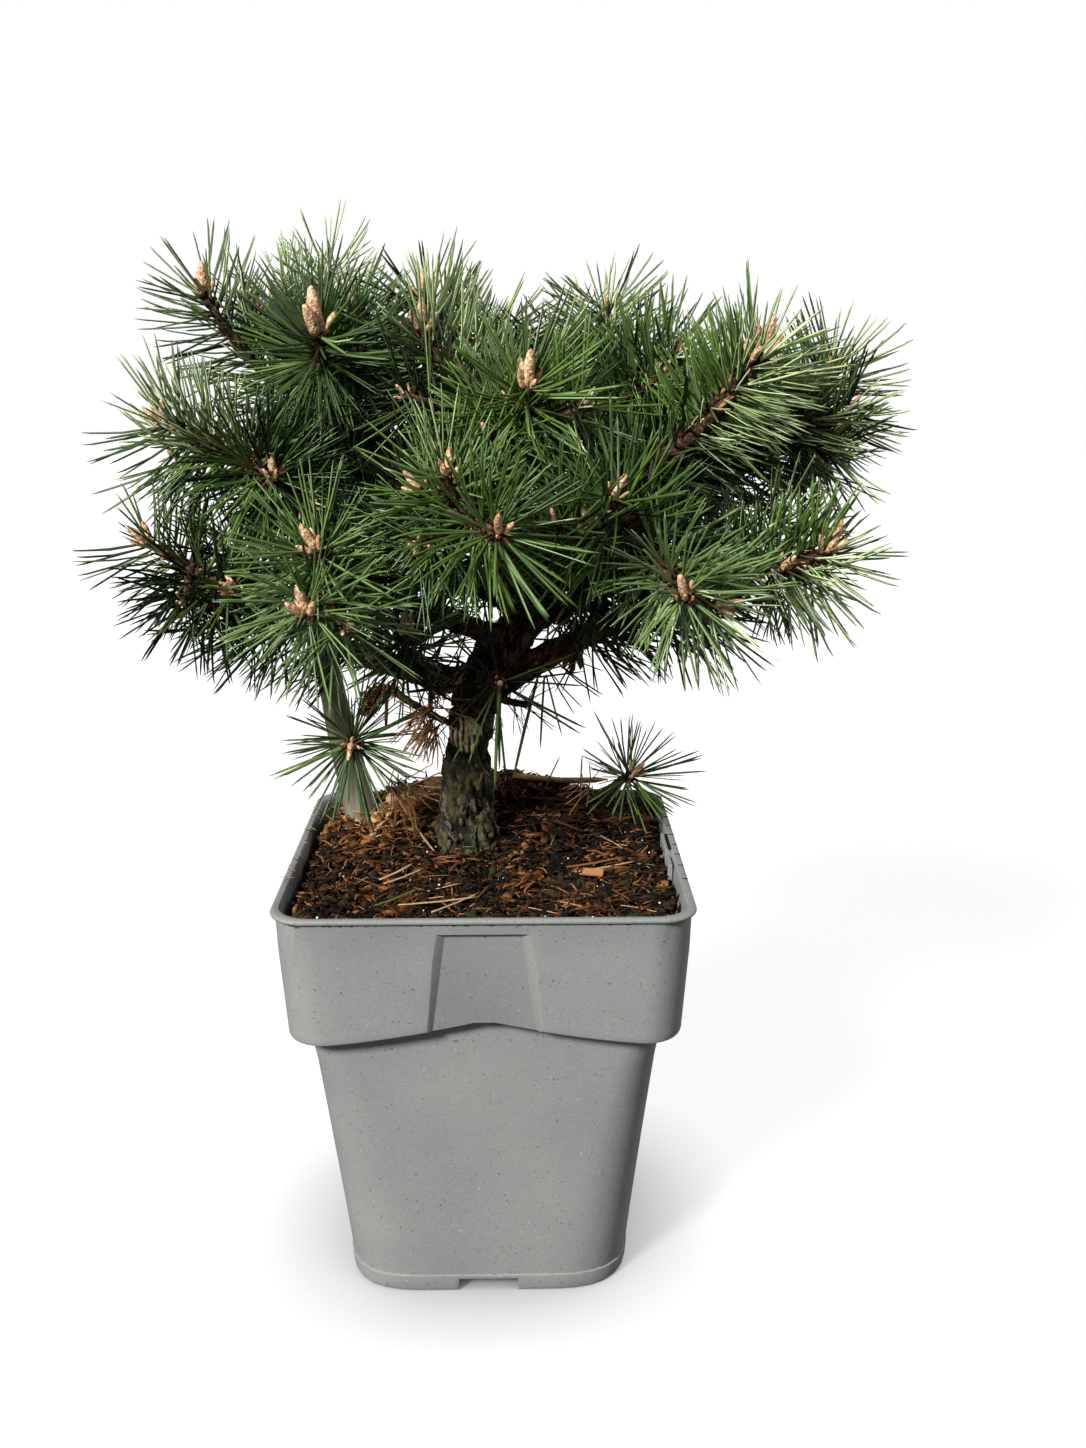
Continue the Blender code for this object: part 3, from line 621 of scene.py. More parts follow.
# Height where a bough leaves the trunk, its tip, how far it sags and its radius at the trunk
BOUGHS = {
    "bough_left": (0.223, (-0.102, -0.018, 0.269), 0.007, 0.0048),
    "bough_right": (0.219, (0.091, -0.02, 0.268), -0.003, 0.0054),
    "bough_front_left": (0.241, (-0.049, -0.058, 0.2755), 0.002, 0.0042),
    "bough_front_right": (0.247, (0.052, -0.06, 0.283), 0.004, 0.0045),
    "bough_back_right": (0.25, (0.066, 0.064, 0.306), 0.004, 0.0045),
    "bough_mid_left": (0.256, (-0.079, -0.018, 0.3065), 0.004, 0.0048),
    "bough_front": (0.264, (-0.004, -0.076, 0.294), 0.003, 0.0042),
    "bough_far_right": (0.259, (0.11, 0.015, 0.314), 0.006, 0.0048),
    "bough_back_left": (0.269, (-0.06, 0.06, 0.305), 0.003, 0.0042),
    "bough_upper_right": (0.276, (0.07, -0.028, 0.315), 0.002, 0.0034),
    "bough_upper_left": (0.283, (-0.08, 0.012, 0.338), 0.002, 0.0042),
    "bough_back": (0.28, (0.006, 0.066, 0.312), 0.002, 0.0038),
    "bough_front_top": (0.292, (0.01, -0.045, 0.318), 0.001, 0.0034),
    "bough_top_right": (0.297, (0.047, 0.022, 0.328), 0.001, 0.0034),
    "bough_top_left": (0.302, (-0.05, 0.008, 0.337), 0.001, 0.0032),
}
SMALL_STEMS = {
    "stem_low_right": ((0.046, 0.04, 0.166), (0.0545, 0.035, 0.175), 0.0024, 0.0018),
    "twig_low_left": ((-0.057, 0.035, 0.188), (-0.05, -0.002, 0.2035), 0.0022, 0.0018),
}
PALE_STEM = (
    (-0.0515, 0.04, 0.156), (-0.0585, 0.034, 0.194), (-0.066, 0.025, 0.246),
    (-0.07, 0.014, 0.276), (-0.0725, 0.004, 0.304),
)


def smooth_line(points, count):
    """Evenly spread points on a smooth curve through the given ones."""
    points = [Vector(p) for p in points]
    last = len(points) - 1
    line = []
    for i in range(count):
        place = i * last / (count - 1)
        k = min(int(place), last - 1)
        t = place - k
        before, a = points[max(k - 1, 0)], points[k]
        b, after = points[k + 1], points[min(k + 2, last)]
        line.append(0.5 * (
            2 * a + (b - before) * t + (2 * before - 5 * a + 4 * b - after) * t ** 2
            + (3 * a - before - 3 * b + after) * t ** 3
        ))
    return line


def spread(values, count):
    """The given values, evenly stretched to a longer list."""
    return list(np.interp(np.linspace(0, len(values) - 1, count), range(len(values)), values))


def trunk_at(z):
    """The trunk's middle at a height."""
    heights = [p[2] for p, _ in TRUNK]
    return Vector((
        float(np.interp(z, heights, [p[0] for p, _ in TRUNK])),
        float(np.interp(z, heights, [p[1] for p, _ in TRUNK])),
        z,
    ))


def bough_line(start, tip, sag, count=12):
    """One bend that sags below the straight run."""
    knee = start.lerp(tip, 0.5) - UP * (2 * sag)
    shares = [i / (count - 1) for i in range(count)]
    return [start * (1 - t) ** 2 + knee * 2 * t * (1 - t) + tip * t ** 2 for t in shares]


TRUNK_STEPS = 40
LIMBS = {
    "trunk": (
        smooth_line([point for point, _ in TRUNK], TRUNK_STEPS),
        spread([radius for _, radius in TRUNK], TRUNK_STEPS),
    ),
}
# A bough swells by a share of its radius where it joins the trunk, and the swelling fades
COLLAR_SWELL = 0.35
COLLAR_FADE = 0.008
for name, (height, tip, sag, radius) in BOUGHS.items():
    line = bough_line(trunk_at(height), Vector(tip), sag)
    radii = []
    for i, point in enumerate(line):
        beyond = max(0.0, (point - line[0]).length - radius)
        collar = 1.0 + COLLAR_SWELL * math.exp(-beyond / COLLAR_FADE)
        radii.append((radius + (TIP_RADIUS - radius) * i / (len(line) - 1)) * collar)
    LIMBS[name] = (line, radii)
for name, (foot, tip, radius, tip_radius) in SMALL_STEMS.items():
    line = [Vector(foot).lerp(Vector(tip), i / 5) for i in range(6)]
    LIMBS[name] = (line, spread([radius, tip_radius], 6))
print(len(LIMBS), "limbs")

# %% Melt the tubes into one skin
BARK_VOXEL = 0.00085


def limb_skin():
    """All limbs as one closed skin of even small faces."""
    bm = bmesh.new()
    for line, radii in LIMBS.values():
        grow_tube(bm, line, radii, 16)
    close_ends(bm)
    skin = to_object("trunk_and_boughs", bm, [])
    melt = skin.modifiers.new("melt", "REMESH")
    melt.mode = "VOXEL"
    melt.voxel_size = BARK_VOXEL
    apply_modifiers(skin)
    bm = bmesh.new()
    bm.from_mesh(skin.data)
    bmesh.ops.smooth_vert(bm, verts=bm.verts, factor=0.5, use_axis_x=True, use_axis_y=True,
                          use_axis_z=True)
    bm.to_mesh(skin.data)
    bm.free()
    return skin


skin = limb_skin()
print("skin of", len(skin.data.vertices), "points")


# %% Which limb each point of the skin lies on
def along_limbs(points):
    """For each point the place on its nearest limb, and the limb's radius there.

    A place is the distance along the limb, the offset in its own frame, and its number.
    """
    best = np.full(len(points), np.inf)
    found = np.zeros((len(points), 4))
    radius_at = np.zeros(len(points))
    for number, (line, radii) in enumerate(LIMBS.values()):
        frames = frames_along(line, [1.0] * len(line))
        walked = 0.0
        for i in range(len(line) - 1):
            start, step = np.array(line[i]), np.array(line[i + 1] - line[i])
            length = float(np.linalg.norm(step))
            share = np.clip((points - start) @ step / length ** 2, 0.0, 1.0)
            offset = points - (start + share[:, None] * step)
            radius = radii[i] + (radii[i + 1] - radii[i]) * share
            gap = np.linalg.norm(offset, axis=1) - radius
            near = gap < best
            best[near] = gap[near]
            turn = np.array(frames[i].to_3x3())
            local = offset @ turn
            found[near, 0] = walked + share[near] * length
            found[near, 1] = local[near, 0] / radius[near]
            found[near, 2] = local[near, 1] / radius[near]
            found[near, 3] = number
            radius_at[near] = radius[near]
            walked += length
    return found, radius_at


# %% Measures of the bark
KNOT = Vector((-0.0074, -0.0060, 0.2053))
KNOT_WIDE = 0.0054
KNOT_HIGH = 0.0066
SCAR = Vector((-0.0044, -0.0060, 0.2085))
SCAR_WIDE = 0.0023
SCAR_HIGH = 0.0043
SCAR_LEAN = math.radians(33)
PLATE_LONG = 0.013
PLATE_WIDE = 0.0034
PLATE_RELIEF = 0.0022
TRUNK_TWIST = 26.0
SCALE_LONG = 0.0036
SCALE_RELIEF = 0.00055
CRACK_STEEPNESS = 3.2
CRACK_LEVEL = 0.45
# Wood is young up to this radius, and old where it is thicker by the span
YOUNG_RADIUS = 0.0034
AGE_SPAN = 0.0026
BUTTRESS_FOOT = 0.158
BUTTRESS_FADE = 0.014
BUTTRESS_RELIEF = 0.0016
KNOT_SWELL = 0.0009
SCAR_LIP = 0.0007
HOLLOW_DEPTH = 0.0011

# %% Plates and ridges
def read_vectors(mesh, kind):
    """The points or the normals of a mesh, one in each row."""
    values = np.empty(len(mesh.vertices) * 3)
    mesh.vertices.foreach_get(kind, values)
    return values.reshape(-1, 3)


def plate_at(place, walked, x, y, radius, limb):
    """From 0 in the cracks of old bark to 1 on its long plates."""
    wander = noise.noise(place * 110) * 0.35
    twist = walked * TRUNK_TWIST if limb == 0 else 0.0
    turned_x = x * math.cos(twist) - y * math.sin(twist)
    turned_y = x * math.sin(twist) + y * math.cos(twist)
    near, _ = noise.voronoi(Vector((
        walked / PLATE_LONG + wander,
        turned_x * radius / PLATE_WIDE + 7 * limb,
        turned_y * radius / PLATE_WIDE + wander,
    )))
    return min(1.0, (near[1] - near[0]) * CRACK_STEEPNESS)


def needle_feet_at(walked, angle):
    """Ridges in spirals round young wood, each the foot of a fallen needle pair."""
    rise = 2 * math.pi * walked / SCALE_LONG
    return math.cos(rise + 3 * angle) * math.cos(rise - 5 * angle)


# %% Push the bark's relief out of the skin
def bark_relief(skin):
    """Moves the skin along its normals, and notes plates, young wood and the knot for colour."""
    mesh = skin.data
    count = len(mesh.vertices)
    points, normals = read_vectors(mesh, "co"), read_vectors(mesh, "normal")
    where, radius = along_limbs(points)
    plate, young, knot, scar = np.zeros((4, count))
    lift = np.zeros(count)
    for i in range(count):
        walked, x, y, limb = where[i]
        place = Vector(points[i])
        crack = plate_at(place, walked, x, y, radius[i], limb)
        angle = math.atan2(y, x)
        ridge = needle_feet_at(walked, angle)
        age = min(1.0, max(0.0, (radius[i] - YOUNG_RADIUS) / AGE_SPAN))
        old = (crack - CRACK_LEVEL) * PLATE_RELIEF + noise.noise(place * 260) * 0.0003
        fresh = ridge * SCALE_RELIEF * 0.6 + noise.noise(place * 420) * 0.00025
        lift[i] = old * age + fresh * (1 - age)
        lift[i] += noise.noise(place * 75) * 0.0008 * min(1.0, radius[i] / 0.006)
        # Buttresses at the foot
        foot = math.exp(-max(0.0, place.z - BUTTRESS_FOOT) / BUTTRESS_FADE)
        if limb == 0:
            lift[i] += BUTTRESS_RELIEF * foot * math.cos(3 * angle + 0.8)
        # The knot on the front: upright ridges round a leaning oval scar, above a dark hollow
        off = place - KNOT
        oval = math.hypot(off.x / KNOT_WIDE, off.z / KNOT_HIGH)
        if limb == 0 and off.y < 0.006 and oval < 1.9:
            knot[i] = max(0.0, min(1.0, (1.12 - oval) * 5))
            lift[i] += KNOT_SWELL * max(0.0, 1.1 - oval)
            off = place - SCAR
            across = off.x * math.cos(SCAR_LEAN) + off.z * math.sin(SCAR_LEAN)
            upward = off.z * math.cos(SCAR_LEAN) - off.x * math.sin(SCAR_LEAN)
            oval = math.hypot(across / SCAR_WIDE, upward / SCAR_HIGH)
            scar[i] = max(0.0, min(1.0, (1.0 - oval) * 5))
            lift[i] += SCAR_LIP * math.exp(-((oval - 0.8) * 4) ** 2)
            lift[i] -= SCAR_LIP * math.exp(-((oval - 1.25) * 5) ** 2)
            hollow = (place.z - (KNOT.z - KNOT_HIGH - 0.0026)) / 0.0024
            lift[i] -= HOLLOW_DEPTH * math.exp(-hollow * hollow)
        plate[i] = crack * age + (0.5 + 0.5 * ridge) * (1 - age)
        young[i] = 1 - age
    moved = points + normals * lift[:, None]
    mesh.vertices.foreach_set("co", moved.ravel())
    for name, values in (("plate", plate), ("young", young), ("knot", knot), ("scar", scar)):
        attribute = mesh.attributes.new(name, "FLOAT", "POINT")
        attribute.data.foreach_set("value", values)
    mesh.update()


bark_relief(skin)
print("relief on the skin")


# %% Bark finish
def attribute_of(material, name):
    """A number that the mesh holds for each point."""
    return add_node(material, "ShaderNodeAttribute", attribute_name=name).outputs["Fac"]


def height_share(material, low, high):
    """From 0 at one height to 1 at another."""
    place = add_node(material, "ShaderNodeTexCoord")
    split = add_node(material, "ShaderNodeSeparateXYZ")
    wire(material, place.outputs["Object"], split.inputs["Vector"])
    span = add_node(material, "ShaderNodeMapRange")
    span.inputs["From Min"].default_value = low
    span.inputs["From Max"].default_value = high
    wire(material, split.outputs["Z"], span.inputs["Value"])
    return span.outputs["Result"]


def bark_finish():
    """Grey-brown plates over dark cracks, redder on young wood, with algae low down."""
    material = start_material("pine bark", 0.85, 0.25)
    old = ramp_of(material, noise_of(material, 190.0, 5.0), [
        (0.38, (0.004, 0.003, 0.002)), (0.54, (0.022, 0.016, 0.010)), (0.70, (0.190, 0.160, 0.105)),
    ])
    fresh = ramp_of(material, noise_of(material, 240.0, 5.0), [
        (0.36, (0.012, 0.006, 0.003)), (0.55, (0.080, 0.034, 0.015)), (0.75, (0.270, 0.135, 0.068)),
    ])
    wood = mix_colours(material, attribute_of(material, "young"), old, fresh)
    crack = ramp_of(material, attribute_of(material, "plate"), [(0.08, 0.06), (0.60, 1.0)])
    wood = mix_colours(material, 1.0, wood, crack, "MULTIPLY")
    low = ramp_of(material, height_share(material, 0.225, 0.160), [(0.0, 0.0), (0.8, 1.0)])
    patch = ramp_of(material, noise_of(material, 95.0, 4.0), [(0.44, 0.0), (0.58, 1.0)])
    moss = mix_colours(material, 1.0, low, patch, "MULTIPLY")
    moss = mix_colours(material, 0.75, (0.0, 0.0, 0.0), moss)
    moss = mix_colours(material, 1.0, moss, crack, "MULTIPLY")
    wood = mix_colours(material, moss, wood, (0.060, 0.066, 0.016))
    grooves = add_node(material, "ShaderNodeTexWave", wave_profile="SIN", Scale=150.0,
                       Distortion=2.5, Detail=3.0)
    grooves.inputs["Detail Scale"].default_value = 2.0
    place = add_node(material, "ShaderNodeTexCoord")
    wire(material, place.outputs["Object"], grooves.inputs["Vector"])
    ridges = ramp_of(material, grooves.outputs["Fac"], [
        (0.20, (0.030, 0.022, 0.012)), (0.42, (0.360, 0.270, 0.140)), (0.78, (0.760, 0.640, 0.420)),
    ])
    patchy = ramp_of(material, noise_of(material, 330.0, 4.0), [(0.34, 0.40), (0.52, 1.0)])
    ridges = mix_colours(material, 1.0, ridges, patchy, "MULTIPLY")
    wood = mix_colours(material, attribute_of(material, "knot"), wood, ridges)
    tan = ramp_of(material, noise_of(material, 900.0, 2.0), [
        (0.36, (0.34, 0.26, 0.150)), (0.58, (0.70, 0.60, 0.42)),
    ])
    wood = mix_colours(material, attribute_of(material, "scar"), wood, tan)
    colour_with(material, wood)
    add_bump(material, noise_of(material, 900.0, 4.0), 0.0006, 0.8)
    return material


BARK_FINISH = bark_finish()
skin.data.materials.append(BARK_FINISH)
skin.data.shade_smooth()
hand_over(skin, list(LIMBS))


# %% [markdown]
# ## The pale stem
# Behind the low tuft on the left stands a smooth grey-beige stem without bark plates. A plain
# tube with a slight wobble is enough. It runs up into the crown and ends there in a tuft.

# %% Make the pale stem
# Smooth, with upright streaks
PALE_FINISH = grained_finish(
    "pale bark", 0.75, 0.3, (160.0, 5.0, (1.0, 1.0, 0.16)),
    [(0.32, (0.030, 0.028, 0.015)), (0.50, (0.120, 0.112, 0.074)), (0.72, (0.230, 0.220, 0.160))],
    (260.0, 4.0, (1.0, 1.0, 0.3)), 0.0004, 0.6,
)
STEM_STEPS = 40
PALE_STEM_RADII = [0.0078, 0.0056, 0.0046, 0.0040, 0.0018]


def make_pale_stem():
    """The stem as one tapering tube."""
    line = smooth_line(PALE_STEM, STEM_STEPS)
    radii = [
        radius * (1 + 0.10 * noise.noise(point * 70))
        for radius, point in zip(spread(PALE_STEM_RADII, STEM_STEPS), line)
    ]
    bm = bmesh.new()
    grow_tube(bm, line, radii, 18)
    close_ends(bm)
    hand_over(to_object("pale_stem", bm, [PALE_FINISH]), ["stem_left"])


make_pale_stem()


# %% [markdown]
# ## How the shoots grow
# Each mass of needles is one main shoot with smaller ones beside it. The main shoot leaves the
# tip of its bough, curves towards its bud and turns up a little at the end, as pine shoots do
# towards the light. Side shoots leave it where last year's growth ended. Needles sit in pairs
# along a spiral that turns 137.5 degrees from pair to pair: the older ones stand out from the
# stem, and those near the bud point forward round it. All chance comes from one seeded source,
# so the plant is the same each time.

# %% The shoots that carry the masses
# By mass: the limb that carries it, the foot of its bud, the bud's own run, how far the
# shoot's tip turns up, and its green
# The greens are partly painted light: the pale and bright greens on low front shoots are painted sunlight,
# and the near-black one is painted shade
SHOOTS = {
    "upper_left": ("bough_upper_left", (-0.0986, 0.006, 0.365), (0.0, -0.002, 0.011), 0.35, "sea"),
    "top_left": ("bough_top_left", (-0.0587, 0.04, 0.3746), (0.001, 0.0, 0.009), 0.6, "sea"),
    "crown_left": ("bough_top_left", (-0.0511, -0.05, 0.3506), (-0.0016, -0.002, 0.015), 0.9, "sea"),
    "top": ("trunk", (-0.0218, 0.005, 0.3626), (0.0006, 0.0, 0.0112), 0.7, "mid"),
    "crown_front": ("bough_front_top", (-0.0192, -0.04, 0.3522), (0.0002, -0.001, 0.0104), 0.9, "mid"),
    "crown_middle": ("bough_front_top", (0.0156, -0.08, 0.335), (0.001, -0.004, 0.0112), 0.35, "bright"),
    "top_right": ("bough_top_right", (0.0456, 0.03, 0.36), (0.0, 0.0, 0.007), 0.4, "mid"),
    "crown_right": ("bough_top_right", (0.0693, 0.0, 0.344), (0.0005, 0.0, 0.006), 0.4, "bright"),
    "left_high": ("bough_mid_left", (-0.1102, -0.02, 0.3211), (-0.004, -0.001, 0.0112), 0.1, "sea"),
    "left_inner": ("bough_mid_left", (-0.0653, -0.06, 0.3059), (-0.0004, -0.003, 0.0078), 0.25, "mid"),
    "left_low": ("bough_left", (-0.1186, -0.02, 0.2804), (-0.0064, -0.002, 0.0058), 0.05, "mid"),
    "left_under": ("bough_left", (-0.0814, -0.05, 0.2681), (-0.0066, -0.004, 0.0024), 0.1, "mid"),
    "front_left_high": ("bough_front_left", (-0.0502, -0.08, 0.2857), (-0.0044, -0.004, 0.0086), 0.3, "pale"),
    "front_left_low": ("bough_front_left", (-0.0527, -0.09, 0.2666), (-0.0024, -0.004, 0.0098), 0.3, "pale"),
    "front_high": ("bough_front", (-0.0088, -0.09, 0.3099), (0.0008, -0.003, 0.0084), 0.3, "bright"),
    "front_middle": ("bough_front", (-0.0188, -0.09, 0.2865), (-0.0008, -0.007, 0.003), 0.1, "sea"),
    "front_low": ("bough_front", (0.0073, -0.113, 0.2945), (-0.0006, -0.006, 0.0056), 0.2, "bright"),
    "front_right_high": ("bough_front_right", (0.0405, -0.09, 0.3033), (0.0042, -0.004, 0.007), 0.2, "mid"),
    "front_right_low": ("bough_front_right", (0.0627, -0.1, 0.2732), (-0.002, -0.005, 0.0076), 0.1, "pale"),
    "upper_right": ("bough_upper_right", (0.095, -0.03, 0.3447), (0.0034, -0.002, 0.0128), 0.35, "bright"),
    "far_right_high": ("bough_far_right", (0.13, 0.02, 0.339), (-0.0004, 0.0, 0.008), 0.6, "mid"),
    "far_right": ("bough_far_right", (0.129, 0.01, 0.3085), (0.0036, -0.001, 0.0116), 0.2, "mid"),
    "right": ("bough_right", (0.1209, -0.03, 0.2775), (0.004, -0.002, 0.0116), 0.2, "bright"),
    "back_left_low": ("bough_back_left", (-0.09, 0.058, 0.288), (-0.003, 0.003, 0.01), 0.3, "painted_shade"),
    "back_left_high": ("bough_back_left", (-0.078, 0.07, 0.328), (-0.002, 0.003, 0.011), 0.5, "mid"),
    "back_low_left": ("bough_back_left", (-0.035, 0.086, 0.28), (-0.001, 0.005, 0.009), 0.3, "painted_shade"),
    "back_high": ("bough_back", (0.0, 0.076, 0.345), (0.0, 0.003, 0.012), 0.5, "mid"),
    "back_middle": ("bough_back", (0.012, 0.1, 0.302), (0.0, 0.005, 0.01), 0.3, "sea"),
    "back_low_right": ("bough_back_right", (0.048, 0.088, 0.279), (0.002, 0.005, 0.008), 0.2, "painted_shade"),
    "back_right_high": ("bough_back_right", (0.07, 0.072, 0.33), (0.002, 0.003, 0.012), 0.5, "bright"),
    "back_right_low": ("bough_back_right", (0.098, 0.06, 0.29), (0.004, 0.003, 0.009), 0.3, "mid"),
    "inner_front": ("trunk", (0.0061, -0.038, 0.2327), (0.0, -0.0036, 0.0006), 0.0, "painted_shade"),
    "low_left": ("twig_low_left", (-0.0491, -0.018, 0.2046), (0.0008, -0.0085, 0.0012), 0.0, "sea"),
    "low_right": ("stem_low_right", (0.0578, 0.0235, 0.1806), (0.0044, -0.004, 0.0062), 0.0, "bright"),
}
TRUNK_ROOTS = {"top": 0.328, "inner_front": 0.226}
LONE = {"inner_front", "left_low"}
LOOSE = {"low_left", "low_right"}
EVEN_LEAN, LOOSE_LEAN = 6, 15
# Main shoots whose needles are few, short or long: share of pairs, and length in metres
SPARSE = {
    "inner_front": (0.42, 0.034), "low_left": (1.75, 0.031), "low_right": (1.45, 0.03),
    "top_left": (0.9, 0.0245), "top": (1.0, 0.028), "top_right": (1.0, 0.0275),
    "far_right": (1.5, 0.029), "far_right_high": (1.4, 0.029), "right": (1.2, 0.029),
    "left_inner": (0.8, 0.03), "front_middle": (0.8, 0.028), "left_under": (0.7, 0.028),
    "left_low": (0.75, 0.028), "upper_left": (0.9, 0.029),
}
NEEDLE_LENGTH = 0.0298
PAIR_STEP = 0.00053
FEWEST_PAIRS = 26
GOLDEN_TURN = math.radians(137.5)

# %% What a shoot knows
class Shoot:
    """One shoot: its line and radii, where its needles begin, its green and its bud's size."""

    def __init__(self, line, radii, green, needled_from, bud, length=NEEDLE_LENGTH, share=1.0):
        self.line = line
        self.bud_run = None
        self.scatter = EVEN_LEAN
        self.radii = spread(radii, len(line))
        self.has_twig = True
        self.green = green
        self.needled_from = needled_from
        self.bud = bud
        self.length = length
        self.share = share

    def at(self, t):
        """Place and direction at a share of the shoot's length."""
        place = t * (len(self.line) - 1)
        k = min(int(place), len(self.line) - 2)
        a, b = self.line[k], self.line[k + 1]
        return a.lerp(b, place - k), (b - a).normalized()

    def radius_at(self, t):
        """The stem's radius at a share of its length."""
        return float(np.interp(t * (len(self.radii) - 1), range(len(self.radii)), self.radii))

    def reach(self):
        """The length along the line."""
        return sum((b - a).length for a, b in zip(self.line, self.line[1:]))


def shoot_line(root, way, bud, lift, count=9):
    """From a root, leaving in one direction, to a bud, arriving turned up by the lift."""
    span = (bud - root).length
    arrive = ((bud - root).normalized() + UP * lift).normalized()
    first, last = root + way * span * 0.36, bud - arrive * span * 0.36
    return [bezier(root, first, last, bud, i / (count - 1)) for i in range(count)]


def spin_about(axis, way, angle):
    """A direction turned about an axis."""
    return Matrix.Rotation(angle, 3, axis) @ way


# %% Grow the shoots
SIDE_DROP = 0.006
SIDE_REACH = (0.018, 0.034)
THICK_SHOOT = 0.002
THIN_SHOOT = 0.0017
SHOOT_TAPER = 0.72
LATE_NEEDLES = 0.62
# Side shoots: where they leave, how far they lean, their length as a share of the main one,
# their buds and their needles
SIDE_ROOTS, SIDE_LEANS, SIDE_SHARES = (0.18, 0.52), (36, 56), (0.45, 0.68)
SIDE_BUDS, SIDE_NEEDLES = (0.3, 0.55), (0.026, 0.031)
BUD_CLEARANCE = 0.017
# The next darker green after mid is the near-black one of painted shade
GREENS_DARKER = {"pale": "sea", "bright": "mid", "sea": "mid", "mid": "painted_shade", "painted_shade": "painted_shade"}
GREENS_LIGHTER = {"pale": "pale", "bright": "pale", "sea": "pale", "mid": "bright", "painted_shade": "mid"}
chance = random.Random(41)
between, pick = chance.uniform, chance.choice
shoots = []


def any_angle():
    """Any angle of a full turn."""
    return between(0, 2 * math.pi)


def any_side(along):
    """Any direction square to the given one."""
    return spin_about(along, along.orthogonal().normalized(), any_angle())


def grow_main_shoots():
    """The shoot of each mass, and where last year's growth ended on it the side shoots."""
    for name, (carrier, bud, bud_run, lift, green) in SHOOTS.items():
        share, length = SPARSE.get(name, (1.0, NEEDLE_LENGTH))
        bud = Vector(bud)
        if carrier == "trunk":
            root = trunk_at(TRUNK_ROOTS[name])
            way = (bud - root).normalized()
        else:
            line, _ = LIMBS[carrier]
            root = line[-1]
            way = (line[-1] - line[-2]).normalized()
            way = (way + (bud - root).normalized()).normalized()
        radius = THICK_SHOOT if carrier in BOUGHS or name == "top" else THIN_SHOOT
        radii = [radius, radius * SHOOT_TAPER]
        main = Shoot(shoot_line(root, way, bud, lift), radii, green, 0.05, 1.0, length, share)
        main.bud_run = Vector(bud_run)
        if name in LOOSE:
            main.scatter = LOOSE_LEAN
        if name == "inner_front":
            main.needled_from = LATE_NEEDLES
        shoots.append(main)
        if name in LONE or carrier in SMALL_STEMS:
            continue
        add_side_shoots(main, pick((2, 3, 3)))


# %% Side shoots
def hides_a_bud(place):
    """Whether a shoot ending here would stand in front of a main bud."""
    for _, bud, _, _, _ in SHOOTS.values():
        off = place - Vector(bud)
        if math.hypot(off.x, off.z) < BUD_CLEARANCE and off.y < 0.004:
            return True
    return False


def add_side_shoots(main, count):
    """Smaller shoots spaced round the main one, most of them turned up."""
    first = any_angle()
    for k in range(count):
        t = between(*SIDE_ROOTS)
        root, along = main.at(t)
        across = along.orthogonal().normalized()
        out = spin_about(along, across, first + 2 * math.pi * k / count + between(-0.4, 0.4))
        lean = math.radians(between(*SIDE_LEANS))
        way = (along * math.cos(lean) + out * math.sin(lean)).normalized()
        reach = between(*SIDE_SHARES) * main.reach()
        reach = min(max(reach, SIDE_REACH[0]), SIDE_REACH[1])
        bud = root + (way + UP * 0.25).normalized() * reach
        bud.z = min(bud.z, main.line[-1].z - SIDE_DROP)
        if hides_a_bud(bud):
            continue
        line = shoot_line(root, way, bud, between(0.1, 0.5), 7)
        green = pick((main.green, GREENS_DARKER[main.green]))
        size, length = between(*SIDE_BUDS), between(*SIDE_NEEDLES)
        shoots.append(Shoot(line, [THIN_SHOOT, 0.0011], green, 0.12, size, length, 0.85))


# %% Shoots on the boughs
# Boughs that the picture shows bare near the trunk
LOW_BOUGHS = ("bough_left", "bough_right", "bough_front_left", "bough_front_right", "bough_front")


def grow_inner_shoots():
    """Short shoots on the boughs themselves, which fill the middle of the crown, in the near-black green of
    painted shade.
    """
    for name in BOUGHS:
        line, _ = LIMBS[name]
        for t in (0.72, 0.9) if name in LOW_BOUGHS else (0.50, 0.72, 0.9):
            k = int(t * (len(line) - 1))
            along = (line[k + 1] - line[k]).normalized() if k + 1 < len(line) else UP
            way = (along * 0.7 + any_side(along) + UP * 0.55).normalized()
            bud = line[k] + way * between(0.022, 0.034)
            inner = shoot_line(line[k], way, bud, 0.3, 6)
            length = between(0.024, 0.030)
            shoots.append(Shoot(inner, [0.0015, 0.001], "painted_shade", 0.2, 0.0, length, 0.8))


def add_sleeve(line, radii, green, length, share, needled_from=0.0):
    """Needles round a stem that is there already, so that no twig is drawn for them."""
    sleeve = Shoot(line, radii, green, needled_from, 0.0, length, share)
    sleeve.has_twig = False
    shoots.append(sleeve)


def dress_boughs():
    """Older needles that still stand on the outer part of each bough itself."""
    for name in BOUGHS:
        line, radii = LIMBS[name]
        k = int(0.42 * len(line))
        # Mostly the near-black green, painted shade for the inside of the crown
        green = pick(("mid", "painted_shade", "painted_shade"))
        add_sleeve(line[k:], radii[k:], green, 0.0275, 0.8)
    for name in LOW_BOUGHS:
        line, radii = LIMBS[name]
        add_sleeve(line[2:7], radii[2:7], "painted_shade", 0.0245, 0.24)
    line, radii = LIMBS["trunk"]
    add_sleeve(line[24:34], radii[24:34], "painted_shade", 0.0265, 0.35)
